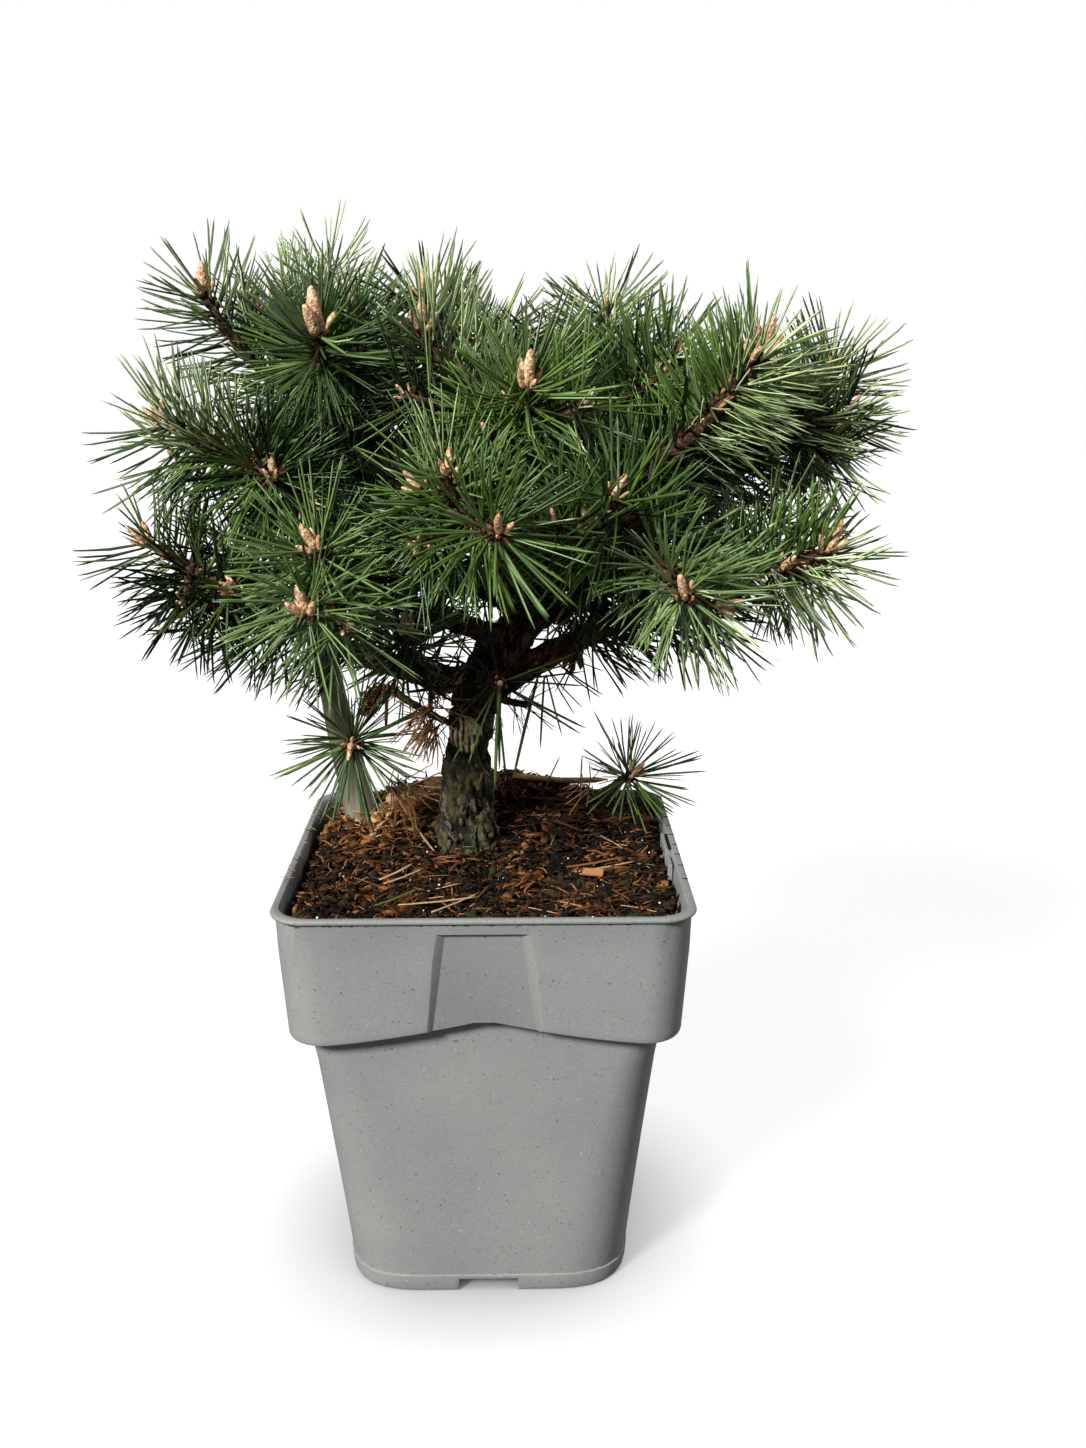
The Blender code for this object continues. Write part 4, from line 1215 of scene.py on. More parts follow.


# %% Tufts between the masses
# Limb, how far along it, bud, green, pairs' share, needle length and bud size
# Some tufts get the near-black green, which is painted shade
INNER_TUFTS = (
    ("bough_left", 0.3, (-0.0264, -0.045, 0.253), "mid", 1.0, 0.027, 0.55),
    ("bough_front_left", 0.45, (-0.018, -0.04, 0.268), "painted_shade", 0.8, 0.024, 0.0),
    ("bough_right", 0.42, (0.044, -0.03, 0.25), "painted_shade", 0.8, 0.024, 0.0),
    ("bough_front_right", 0.5, (0.031, -0.042, 0.266), "painted_shade", 0.9, 0.025, 0.0),
    ("bough_front_right", 0.9, (0.0232, -0.093, 0.2963), "mid", 0.9, 0.026, 0.35),
    ("bough_front_right", 0.95, (0.0256, -0.06, 0.3163), "mid", 0.9, 0.026, 0.35),
    ("trunk", 0.42, (0.016, -0.014, 0.219), "painted_shade", 0.7, 0.013, 0.0),
    ("trunk", 0.36, (-0.01, -0.015, 0.219), "painted_shade", 0.3, 0.021, 0.0),
    ("bough_top_left", 0.9, (-0.0443, -0.01, 0.3605), "sea", 0.9, 0.027, 0.55),
    ("bough_upper_right", 0.85, (0.091, -0.032, 0.3426), "bright", 0.9, 0.027, 0.7),
    ("bough_top_right", 0.8, (0.064, -0.012, 0.338), "mid", 0.9, 0.027, 0.4),
    ("trunk", 0.99, (0.005, 0.02, 0.354), "mid", 1.0, 0.027, 0.3),
    ("bough_top_right", 0.5, (0.026, 0.006, 0.348), "mid", 1.0, 0.027, 0.35),
    ("bough_upper_right", 0.8, (0.08, 0.006, 0.335), "mid", 1.0, 0.027, 0.3),
    ("bough_far_right", 0.95, (0.134, 0.008, 0.324), "mid", 1.2, 0.028, 0.5),
    ("bough_far_right", 0.8, (0.118, 0.0, 0.323), "mid", 1.0, 0.027, 0.0),
    ("bough_right", 0.9, (0.108, -0.01, 0.286), "mid", 1.0, 0.027, 0.0),
)


def grow_inner_tufts():
    """Single tufts that show between the masses."""
    for carrier, place, bud, green, share, length, size in INNER_TUFTS:
        line, _ = LIMBS[carrier]
        root = line[int(place * (len(line) - 1))]
        bud = Vector(bud)
        way = (bud - root).normalized()
        line = shoot_line(root, way, bud, 0.2, 7)
        shoots.append(Shoot(line, [0.0018, 0.0012], green, 0.25, size, length, share))


def grow_stem_tuft():
    """The pale stem ends in a tuft of its own inside the crown."""
    tip = smooth_line(PALE_STEM, STEM_STEPS)[-8:]
    add_sleeve(tip, [0.0024, 0.0018], "mid", 0.0265, 1.0, 0.15)


grow_main_shoots()
grow_inner_shoots()
dress_boughs()
grow_inner_tufts()
grow_stem_tuft()
print(len(shoots), "shoots")


# %% [markdown]
# ## Twigs
# The stems of the shoots are thin tubes, roughened by the feet of fallen needles. They share
# one mesh, because no twig is ever handled alone.

# %% Make the twigs
# Orange-brown young bark with dark scale scars
TWIG_FINISH = grained_finish(
    "twig bark", 0.8, 0.3, (620.0, 4.0),
    [(0.36, (0.012, 0.005, 0.003)), (0.54, (0.055, 0.024, 0.010)), (0.74, (0.240, 0.120, 0.050))],
    (800.0, 4.0), 0.0005, 0.8,
)
RIDGE_STEP = 0.0018


def make_twigs():
    """Every shoot's stem, with little ridges along it."""
    bm = bmesh.new()
    for shoot in shoots:
        if not shoot.has_twig:
            continue
        count = max(8, int(shoot.reach() / RIDGE_STEP))
        line, radii = [], []
        for i in range(count):
            t = i / (count - 1)
            line.append(shoot.at(min(t, 0.999))[0])
            radii.append(shoot.radius_at(t))
            radii[-1] *= 1.0 + (0.16 if i % 2 else -0.06)
        grow_tube(bm, line, radii, 7)
    close_ends(bm)
    hand_over(to_object("twigs", bm, [TWIG_FINISH], smooth=False))


make_twigs()


# %% [markdown]
# ## The mulch's surface
# The lowest needles hang down to the mulch, so its level has to be known before they are laid.
# It is nearly flat, with a mound at the back of the pot.

# %% The mulch's level
MOUND_RISE = 0.0195
MOUND_Y = 0.042
MOUND_WIDE = 0.052
MOUND_DEEP = 0.042
MULCH_EDGE = 0.1515
FRONT_RISE = 0.0025
BED_HALF = 0.069
BED_CORNER = 0.012


def mulch_level(x, y):
    """Height of the bed, without its lumps."""
    mound = math.exp(-((x / MOUND_WIDE) ** 2) - ((y - MOUND_Y) / MOUND_DEEP) ** 2)
    return MULCH_EDGE + FRONT_RISE * max(0.0, -y / LIP_HALF) ** 2 + MOUND_RISE * mound


def in_bed(x, y, margin):
    """Whether a place lies inside the pot's wall by a margin."""
    half = BED_HALF - margin
    over_x, over_y = abs(x) - half + BED_CORNER, abs(y) - half + BED_CORNER
    if over_x > 0 and over_y > 0:
        return math.hypot(over_x, over_y) < BED_CORNER
    return over_x < BED_CORNER and over_y < BED_CORNER


# %% [markdown]
# ## Needles
# A needle is half round: flat on the side that faced its twin in the bud, rounded outside, and
# drawn out to a point. Three sides and five rings show that from a hand's breadth. A few
# patterns with more or less bow are made once, and a copy is laid for each needle. Copies are
# written straight into the arrays of one mesh for each green, since copying bmesh geometry
# tens of thousands of times would take minutes.

# %% Needle patterns
NEEDLE_HALF_WIDTH = 0.0185
NEEDLE_STATIONS = ((0.0, 0.80), (0.10, 0.95), (0.50, 1.0), (0.88, 0.82), (1.0, 0.24))
SHEATH_TOP = 0.1


def needle_pattern(bow):
    """A needle one unit long that bows towards +X. Its flat side is of the second material."""
    bm = bmesh.new()
    line = [Vector((bow * z * z, 0.0, z)) for z, _ in NEEDLE_STATIONS]
    grow_tube(bm, line, [NEEDLE_HALF_WIDTH * width for _, width in NEEDLE_STATIONS], 3)
    close_ends(bm)
    middle_side = [face for face in bm.faces if len(face.verts) == 4]
    lowest = min(face.normal.x for face in middle_side)
    for face in middle_side:
        face.material_index = int(face.normal.x < lowest + 0.25)
        if face.calc_center_median().z < SHEATH_TOP:
            face.material_index = 2
    bmesh.ops.triangulate(bm, faces=bm.faces)
    return bm


# %% Copies of a pattern
class Pattern:
    """A small mesh as arrays, ready to be laid many times."""

    def __init__(self, bm):
        bm.verts.index_update()
        self.points = np.array([(*vert.co, 1.0) for vert in bm.verts])
        self.corners = np.array([[vert.index for vert in face.verts] for face in bm.faces])
        self.slots = np.array([face.material_index for face in bm.faces])
        bm.free()


NEEDLES = [Pattern(needle_pattern(bow)) for bow in (0.02, 0.07, 0.13, 0.20)]
print("a needle has", len(NEEDLES[0].corners), "triangles")


def lay_copies(name, copies, materials, smooth=True):
    """One mesh with a copy of a pattern at each matrix. Copies are (pattern, matrix) pairs."""
    points, corners, slots, shift = [], [], [], 0
    for pattern in dict.fromkeys(pattern for pattern, _ in copies):
        places = np.array([np.array(matrix)[:3] for p, matrix in copies if p is pattern])
        laid = np.einsum("kij,nj->kni", places, pattern.points)
        size = len(pattern.points)
        steps = np.arange(len(places))[:, None, None] * size + shift
        points.append(laid.reshape(-1, 3))
        corners.append((pattern.corners[None] + steps).reshape(-1, 3))
        slots.append(np.tile(pattern.slots, len(places)))
        shift += len(places) * size
    points, corners = np.concatenate(points), np.concatenate(corners)
    mesh = bpy.data.meshes.new(name)
    mesh.vertices.add(len(points))
    mesh.vertices.foreach_set("co", points.astype(np.float32).ravel())
    mesh.loops.add(corners.size)
    mesh.loops.foreach_set("vertex_index", corners.astype(np.int32).ravel())
    mesh.polygons.add(len(corners))
    mesh.polygons.foreach_set("loop_start", np.arange(0, corners.size, 3, dtype=np.int32))
    mesh.polygons.foreach_set("material_index", np.concatenate(slots).astype(np.int32))
    mesh.update(calc_edges=True)
    return show_mesh(name, mesh, materials, smooth)


# %% Needle greens
# For each green: the rounded side and the flat side. The flat side is much paler, partly its own pale bands
# and partly a painted highlight for the needles' sheen
GREENS = {
    "pale": ((0.125, 0.198, 0.058), (0.56, 0.66, 0.4)),
    "sea": ((0.044, 0.085, 0.022), (0.4, 0.49, 0.255)),
    "bright": ((0.078, 0.143, 0.022), (0.4, 0.5, 0.215)),
    "mid": ((0.041, 0.08, 0.014), (0.37, 0.46, 0.2)),
    # The near-black green is painted shade for needles inside and behind the crown
    "painted_shade": ((0.005, 0.012, 0.003), (0.06, 0.09, 0.026)),
}
# Gloss of the two sides, which the near-black green of painted shade lacks
OUTER_GLOSS, INNER_GLOSS, DULL_GLOSS = 0.50, 0.45, 0.18
SHEATH_FINISH = plain_material("needle sheath", (0.060, 0.030, 0.014), 0.7, 0.3)
NEEDLE_FINISHES = {}
for green, (outer, inner) in GREENS.items():
    dull = green == "painted_shade"
    NEEDLE_FINISHES[green] = [
        plain_material(f"needle {green} outer", outer, 0.38, DULL_GLOSS if dull else OUTER_GLOSS),
        plain_material(f"needle {green} inner", inner, 0.50, DULL_GLOSS if dull else INNER_GLOSS),
        SHEATH_FINISH,
    ]


def needle_matrix(foot, way, bow_way, length):
    """Places a needle with its foot, its direction, and the side that it bows towards."""
    side = way.cross(bow_way).normalized()
    ahead = side.cross(way)
    turn = Matrix((ahead, side, way)).transposed() * length
    return Matrix.Translation(foot) @ turn.to_4x4()


def clear_of_ground(place):
    """Whether a needle's tip stays above the mulch and the rim, or outside the pot."""
    reach = max(abs(place.x), abs(place.y))
    if reach < BED_HALF - 0.003:
        return place.z > mulch_level(place.x, place.y) + 0.0015
    return place.z > (POT_HEIGHT + 0.001 if reach < LIP_HALF + 0.002 else 0.120)


# %% Lay the needles
# Needles on the older part of a shoot part to both sides, so that its stem shows
PARTED_UPTO = 0.82
PARTED_FACING = -0.55
PARTED_CHANCE = 0.75
PARTED_TURN = (50, 85)
# How far a pair leans from the stem: the old ones, and how much less those at the bud
OLD_LEAN = 80
FRESH_LESS = 27
UPWARD_PULL = 0.06
# Lengths as shares of the shoot's own, and as a share for its oldest needles
SHORTEST_EVEN, SHORTEST_LOOSE, LONGEST = 0.84, 0.62, 1.05
OLD_LENGTH = 0.86
PAIR_OPENING = (1.5, 6.5)
SLIMNESS = (0.70, 1.04)
# Some pairs of a shoot are paler or darker than the rest of it
DARKER_SHARE = 0.24
LIGHTER_SHARE = 0.18


def dress(shoot, laid):
    """Pairs of needles in a spiral round one shoot."""
    reach = shoot.reach()
    count = max(int(reach * (1 - shoot.needled_from) / PAIR_STEP), FEWEST_PAIRS)
    count = int(count * shoot.share)
    turn = any_angle()
    for i in range(count):
        fresh = (i + chance.random()) / count
        t = shoot.needled_from + (1 - shoot.needled_from) * fresh
        foot, along = shoot.at(min(t, 0.999))
        turn += GOLDEN_TURN
        out = spin_about(along, along.orthogonal().normalized(), turn)
        if fresh < PARTED_UPTO and out.y < PARTED_FACING and chance.random() < PARTED_CHANCE:
            side = pick((-1, 1))
            out = spin_about(along, out, side * math.radians(between(*PARTED_TURN)))
        lean = math.radians(OLD_LEAN - FRESH_LESS * fresh ** 2 + chance.gauss(0, shoot.scatter))
        way = (along * math.cos(lean) + out * math.sin(lean) + UP * UPWARD_PULL).normalized()
        shortest = SHORTEST_EVEN if shoot.scatter == EVEN_LEAN else SHORTEST_LOOSE
        length = shoot.length * between(shortest, LONGEST)
        length *= OLD_LENGTH + (1 - OLD_LENGTH) * min(1.0, 2 * fresh)
        foot = foot + out * shoot.radius_at(t) * 0.8
        twin_axis = spin_about(way, along.cross(way).normalized(), between(-0.8, 0.8))
        half_angle = math.radians(between(*PAIR_OPENING))
        green, draw = shoot.green, chance.random()
        if draw < DARKER_SHARE:
            green = GREENS_DARKER[green]
        elif draw > 1 - LIGHTER_SHARE:
            green = GREENS_LIGHTER[green]
        slim = between(*SLIMNESS)
        for side in (-1, 1):
            needle_way = spin_about(twin_axis, way, side * half_angle)
            bow_way = (along + twin_axis.cross(way) * side * 0.4).normalized()
            if clear_of_ground(foot + needle_way * length):
                matrix = needle_matrix(foot, needle_way, bow_way, length)
                matrix = matrix @ Matrix.Diagonal((slim, slim, 1.0, 1.0))
                laid[green].append((pick(NEEDLES), matrix))


def make_needles():
    """All needles, one piece for each green."""
    laid = {green: [] for green in GREENS}
    for shoot in shoots:
        dress(shoot, laid)
    nodes = [f"mass_{name}" for name in SHOOTS]
    for number, (green, copies) in enumerate(laid.items()):
        made = lay_copies(f"needles_{green}", copies, NEEDLE_FINISHES[green])
        hand_over(made, nodes[number::len(laid)])
    print(sum(len(copies) for copies in laid.values()), "needles")


make_needles()


# %% [markdown]
# ## Buds
# Each shoot ends in a pointed resinous bud with smaller ones pressed round its foot. A sphere
# drawn out to a point, with a spiral ripple for its scales, is laid at several sizes.

# %% Bud patterns
BUD_SLIM = 0.34
ROUND_BUD_UPTO = 0.0045
ROUND_BUD_WIDER = 2.1


def bud_pattern(sides, rings, turns):
    """A blunt bud one unit long, with scales that overlap in a spiral."""
    bm = bmesh.new()
    bmesh.ops.create_uvsphere(bm, u_segments=sides, v_segments=rings, radius=0.5,
                              matrix=Matrix.Translation((0, 0, 0.5)))
    for vert in bm.verts:
        z = vert.co.z
        angle = math.atan2(vert.co.y, vert.co.x)
        scale = math.sin(turns * angle + 30 * z) * math.sin(turns * angle - 24 * z)
        # A sphere's own width at this height, and the fuller width of a blunt cylinder
        round_width = math.sqrt(max(0.25 - (z - 0.5) ** 2, 1e-6))
        full_width = 0.5 * math.sqrt(max(1.0 - abs(2 * z - 1) ** 2.8, 0.0))
        shape = BUD_SLIM * (1.12 - 0.42 * z) * (1 + 0.13 * scale) * full_width / round_width
        vert.co.x *= shape
        vert.co.y *= shape
    bmesh.ops.triangulate(bm, faces=bm.faces)
    return bm


BIG_BUDS = [Pattern(bud_pattern(14, 16, turns)) for turns in (2, 3)]
SMALL_BUD = Pattern(bud_pattern(7, 7, 2))
print("buds of", len(BIG_BUDS[0].corners), "and", len(SMALL_BUD.corners), "triangles")


# %% Make the buds
# Pale orange-tan scales with whitish resin between them
BUD_FINISH = grained_finish(
    "bud scales", 0.45, 0.5, (850.0, 3.0),
    [(0.30, (0.160, 0.070, 0.030)), (0.42, (0.440, 0.230, 0.110)), (0.55, (0.620, 0.380, 0.215)),
     (0.68, (0.740, 0.580, 0.430))],
    (1000.0, 2.0), 0.0008, 0.9,
)
BUD_LENGTH = 0.0162
LARGE_BUD = 0.0075
# How far the smaller buds lean out, and their length as a share of the middle one's
WHORL_LEANS, WHORL_SHARES = (18, 40), (0.48, 0.82)


def make_buds():
    """A central bud on each shoot that has one, and a whorl of smaller ones round it."""
    copies = []
    for shoot in shoots:
        if not shoot.bud:
            continue
        tip, along = shoot.at(0.999)
        if shoot.bud_run:
            length, upright = shoot.bud_run.length, shoot.bud_run.normalized()
        else:
            length = BUD_LENGTH * shoot.bud * between(0.85, 1.12)
            upright = (along + UP * 0.60).normalized()
        side = upright.orthogonal().normalized()
        large = length > LARGE_BUD
        kinds = BIG_BUDS if large else [SMALL_BUD]
        rounded = shoot.bud_run is not None and length < ROUND_BUD_UPTO
        wider = ROUND_BUD_WIDER if rounded else 1.0
        matrix = needle_matrix(tip - along * 0.001, upright, side, length)
        copies.append((kinds[0], matrix @ Matrix.Diagonal((wider, wider, 1.0, 1.0))))
        small = pick((3, 4, 4)) if large else pick((1, 1, 2))
        if rounded:
            small = 0
        first = any_angle()
        for k in range(small):
            out = spin_about(upright, side, first + 2 * math.pi * k / small)
            lean = math.radians(between(*WHORL_LEANS))
            way = (upright * math.cos(lean) + out * math.sin(lean)).normalized()
            size = length * between(*WHORL_SHARES)
            foot = tip - along * 0.0015 + out * 0.0014
            copies.append((kinds[-1], needle_matrix(foot, way, upright, size)))
    hand_over(lay_copies("buds", copies, [BUD_FINISH]))


make_buds()


# %% [markdown]
# ## Bark mulch
# The pot is filled with composted bark: flakes, shreds and crumbs from nearly black to orange,
# with dead needles and a few white grains of perlite. One dark bed follows the mounded surface,
# and thousands of loose pieces lie on it at all angles, each kind and colour joined into one mesh.

# %% Make the bed
# Dark damp bark dust
BED_FINISH = grained_finish(
    "bark bed", 0.95, 0.2, (260.0, 5.0),
    [(0.35, (0.004, 0.003, 0.002)), (0.55, (0.016, 0.009, 0.005)), (0.75, (0.070, 0.035, 0.017))],
    (500.0, 4.0), 0.0012, 0.9,
)
# How much narrower and lower each ring of the bed's side is than the one above it
BED_SIDES = ((0.985, 0.0125), (0.895, 0.0060), (0.97, 0.0260), (0.62, 0.0935))


def make_bed():
    """A lumpy top with sides that follow the inside of the pot down to its floor."""
    bm = bmesh.new()
    bmesh.ops.create_grid(bm, x_segments=96, y_segments=96, size=1.0)
    for vert in bm.verts:
        u, v = vert.co.x, vert.co.y
        # Rounds the square's corners without moving its sides
        squeeze = 1.0 - 0.5 * BED_CORNER / BED_HALF * (u * u * v * v)
        vert.co.x, vert.co.y = u * BED_HALF * squeeze, v * BED_HALF * squeeze
        place = Vector((vert.co.x, vert.co.y, 0.0))
        lump = noise.noise(place * 170) * 0.0014 + noise.noise(place * 420) * 0.0007
        vert.co.z = mulch_level(place.x, place.y) + lump
    edges = [edge for edge in bm.edges if edge.is_boundary]
    for scale, drop in BED_SIDES:
        verts, edges = next_ring(bm, edges)
        bmesh.ops.scale(bm, vec=(scale, scale, 1.0), verts=verts)
        bmesh.ops.translate(bm, vec=(0.0, 0.0, -drop), verts=verts)
    close_ends(bm)
    bed = to_object("mulch_bed", bm, [BED_FINISH])
    hand_over(bed, ["mulch"])


make_bed()


# %% Patterns of the loose pieces
def flake_pattern(seed, thin):
    """A torn flake of bark, one unit long."""
    jitter = random.Random(seed)
    bm = bmesh.new()
    bmesh.ops.create_cube(bm, size=1.0)
    bmesh.ops.subdivide_edges(
        bm, edges=[e for e in bm.edges if abs(e.verts[0].co.x - e.verts[1].co.x) > 0.5], cuts=1,
    )
    for vert in bm.verts:
        end = abs(vert.co.x) * 2
        narrow = 1.0 - end * jitter.uniform(0.15, 0.75)
        vert.co.y *= narrow
        vert.co.z = vert.co.z * thin + 0.10 * (0.25 - vert.co.x ** 2) * 4 * jitter.uniform(0.3, 1.0)
        vert.co.x += jitter.uniform(-0.10, 0.10)
        vert.co.y += jitter.uniform(-0.10, 0.10)
    bmesh.ops.triangulate(bm, faces=bm.faces)
    bmesh.ops.recalc_face_normals(bm, faces=bm.faces)
    return bm


def shred_pattern(bow, twist):
    """A thin stringy shred, one unit long."""
    bm = bmesh.new()
    line = [Vector((i / 4 - 0.5, 0.0, bow * math.sin(math.pi * i / 4))) for i in range(5)]
    for i, point in enumerate(line):
        point.y = twist * math.sin(1.7 * i)
    grow_tube(bm, line, [0.020, 0.045, 0.040, 0.035, 0.012], 4)
    close_ends(bm)
    bmesh.ops.triangulate(bm, faces=bm.faces)
    return bm


def grain_pattern():
    """A rough grain."""
    jitter = random.Random(5)
    bm = bmesh.new()
    bmesh.ops.create_icosphere(bm, subdivisions=1, radius=0.5)
    for vert in bm.verts:
        vert.co *= jitter.uniform(0.75, 1.2)
    return bm


FLAKES = [Pattern(flake_pattern(seed, thin)) for seed, thin in ((1, 0.16), (2, 0.24), (3, 0.12))]
SHREDS = [Pattern(shred_pattern(bow, twist)) for bow, twist in ((0.06, 0.03), (0.16, 0.08))]
GRAIN = Pattern(grain_pattern())
print("flake", len(FLAKES[0].corners), "shred", len(SHREDS[0].corners), "grain", len(GRAIN.corners))

# %% Colours of the loose pieces
MULCH_COLOURS = {
    "black": (0.005, 0.003, 0.002),
    "brown": (0.022, 0.011, 0.005),
    "olive": (0.024, 0.021, 0.006),
    "red": (0.085, 0.028, 0.01),
    "orange": (0.2, 0.08, 0.026),
    "tan": (0.4, 0.26, 0.125),
}
MULCH_FINISHES = {
    name: plain_material(f"mulch {name}", colour, 0.85, 0.12)
    for name, colour in MULCH_COLOURS.items()
}
PERLITE_FINISH = plain_material("perlite", (0.75, 0.73, 0.68), 0.8, 0.3)


# %% Scatter the loose pieces
CHIP_COUNT = 7600
FLAKE_SHARE, SHRED_SHARE = 0.36, 0.54
FLAKE_SIZES = (0.0020, 0.0070)
SHRED_SIZES = (0.0035, 0.0120)
GRAIN_SIZES = (0.0008, 0.0022)
STRAW_LENGTHS = (0.009, 0.026)
PERLITE_SIZES = (0.0004, 0.0009)
STRAWS = 330
PERLITE_GRAINS = 70


def chip_colour(x, y):
    """Mostly dark, brighter on the mound at the back left: partly its own orange chips, partly painted
    sunlight.
    """
    # The brighter chips at the back left are partly painted sunlight where the crown shades the mulch
    bright = math.exp(-((x + 0.030) / 0.036) ** 2 - ((y - 0.034) / 0.026) ** 2)
    draw = chance.random() + 0.72 * bright
    limits = ((0.38, "black"), (0.68, "brown"), (0.80, "olive"), (0.91, "red"), (1.22, "orange"))
    for limit, name in limits:
        if draw < limit:
            return name
    return "tan" if draw < 1.34 else "orange"


def lie(x, y, tilt, rise):
    """A turn and place for a piece that lies on the bed."""
    yaw = Matrix.Rotation(any_angle(), 4, "Z")
    lean = Matrix.Rotation(chance.gauss(0, tilt), 4, "X") @ Matrix.Rotation(
        chance.gauss(0, tilt), 4, "Y"
    )
    return Matrix.Translation((x, y, mulch_level(x, y) + rise)) @ lean @ yaw


def spot():
    """Any place on the square that holds the bed."""
    return between(-BED_HALF, BED_HALF), between(-BED_HALF, BED_HALF)


def lay_loose(name, copies, finish):
    """Joins the loose pieces of one colour, and hands them over."""
    hand_over(lay_copies(name, copies, [finish], smooth=False))


# %% Lay the mulch pieces
def make_mulch_pieces():
    """Flakes, shreds, dead needles and grains."""
    laid = {name: [] for name in MULCH_COLOURS}
    grains = []
    while sum(len(copies) for copies in laid.values()) < CHIP_COUNT:
        x, y = spot()
        kind = chance.random()
        colour = chip_colour(x, y)
        if kind < FLAKE_SHARE:
            size = between(*FLAKE_SIZES)
            pattern = pick(FLAKES)
            scale = (size, size * between(0.25, 0.65), size * between(0.5, 1.1))
        elif kind < FLAKE_SHARE + SHRED_SHARE:
            size = between(*SHRED_SIZES)
            pattern = pick(SHREDS)
            scale = (size, size * between(0.6, 1.1), size * between(0.6, 1.1))
        else:
            size = between(*GRAIN_SIZES)
            pattern = GRAIN
            scale = (size, size, size)
        if not in_bed(x, y, size * 0.5):
            continue
        matrix = lie(x, y, 0.45, between(0.0002, 0.0030))
        laid[colour].append((pattern, matrix @ Matrix.Diagonal((*scale, 1.0))))
    for _ in range(STRAWS):
        x, y = spot()
        length = between(*STRAW_LENGTHS)
        if in_bed(x, y, length * 0.5):
            flat = lie(x, y, 0.13, between(0.0022, 0.0040))
            spun = flat @ Matrix.Rotation(math.pi / 2, 4, "Y")
            slim = length * between(0.42, 0.75)
            matrix = spun @ Matrix.Diagonal((slim, slim, length, 1.0))
            matrix = matrix @ Matrix.Translation((0.0, 0.0, -0.5))
            colour = pick(("tan", "orange", "orange", "red"))
            laid[colour].append((pick(NEEDLES[1:]), matrix))
    for _ in range(PERLITE_GRAINS):
        x, y = spot()
        size = between(*PERLITE_SIZES)
        if in_bed(x, y, 0.002):
            matrix = lie(x, y, 0.3, 0.0030) @ Matrix.Diagonal((size, size, size, 1.0))
            grains.append((GRAIN, matrix))
    for name, copies in laid.items():
        lay_loose(f"mulch_{name}", copies, MULCH_FINISHES[name])
    lay_loose("perlite", grains, PERLITE_FINISH)


make_mulch_pieces()


# %% [markdown]
# ## Scales, loose bark and dead needles
# Young stems are rough with the feet of old needles, and old bark peels in small plates. Both
# are flakes laid on a stem, so the flake patterns serve again. The few odd things that the
# picture shows are placed one by one: a curled dead twig with tan needles left of the trunk, and
# a flap of red bark under the right bough.

# %% Finishes of the loose bark
SCALE_DARK = plain_material("dark scale", (0.040, 0.018, 0.009), 0.85, 0.25)
SCALE_TAN = plain_material("tan scale", (0.320, 0.150, 0.058), 0.85, 0.25)
BARK_GREY = plain_material("grey bark flake", (0.070, 0.060, 0.040), 0.9, 0.2)
BARK_RED = plain_material("red bark flake", (0.150, 0.064, 0.032), 0.9, 0.2)


def laid_flat(place, along, out, size, wide, thick):
    """Lays a flake at a place, its length along one direction and its face towards another."""
    side = out.cross(along).normalized()
    face = along.cross(side)
    turn = Matrix((along * size, side * wide, face * thick)).transposed()
    return Matrix.Translation(place) @ turn.to_4x4()


# %% Make the scales on the stems
SCALE_STEP = 0.0011
SCALE_SIZES = (0.0018, 0.0036)
TAN_SHARE = 0.33
# Shoots with a smaller bud than this show no scales
SCALED_FROM = 0.6


def make_stem_scales():
    """Small scales that lean outwards along each shoot and the outer part of each bough."""
    dark, tan = [], []
    for shoot in shoots:
        if shoot.bud < SCALED_FROM and shoot.has_twig:
            continue
        for _ in range(int(shoot.reach() / SCALE_STEP)):
            t = chance.random()
            place, along = shoot.at(min(t, 0.999))
            around = any_side(along)
            lean = math.radians(between(12, 40))
            way = along * math.cos(lean) + around * math.sin(lean)
            size = between(*SCALE_SIZES)
            foot = place + around * shoot.radius_at(t) * 0.95 + way * size * 0.4
            matrix = laid_flat(foot, way, around, size, size * 0.45, size * 0.7)
            kind = tan if chance.random() < TAN_SHARE else dark
            kind.append((pick(FLAKES), matrix))
    lay_loose("stem_scales_dark", dark, SCALE_DARK)
    lay_loose("stem_scales_tan", tan, SCALE_TAN)


make_stem_scales()

# %% Make the peeling bark
FLAKES_ON_BARK = 620
BARK_FLAKE_SIZES = (0.0018, 0.0042)
# Shares of red flakes on the trunk and, above this height, on the boughs
RED_ON_TRUNK, RED_ON_BOUGHS, BOUGHS_FROM = 0.12, 0.65, 0.225
# Place, direction, length and width of the red flaps
FLAP_PLACES = (
    ((0.0322, -0.006, 0.2345), (0.1, -0.05, -1.0), 0.01, 0.003),
    ((0.0345, -0.0065, 0.235), (0.4, -0.05, -1.0), 0.008, 0.0026),
    ((0.0302, -0.007, 0.2355), (-0.18, -0.1, -1.0), 0.0085, 0.0026),
    ((0.029, -0.007, 0.238), (-0.45, -0.1, -1.0), 0.007, 0.003),
    ((0.0335, -0.0075, 0.2385), (0.15, -0.3, -1.0), 0.007, 0.004),
    ((0.015, -0.009, 0.242), (0.15, -0.25, 1.0), 0.007, 0.004),
)


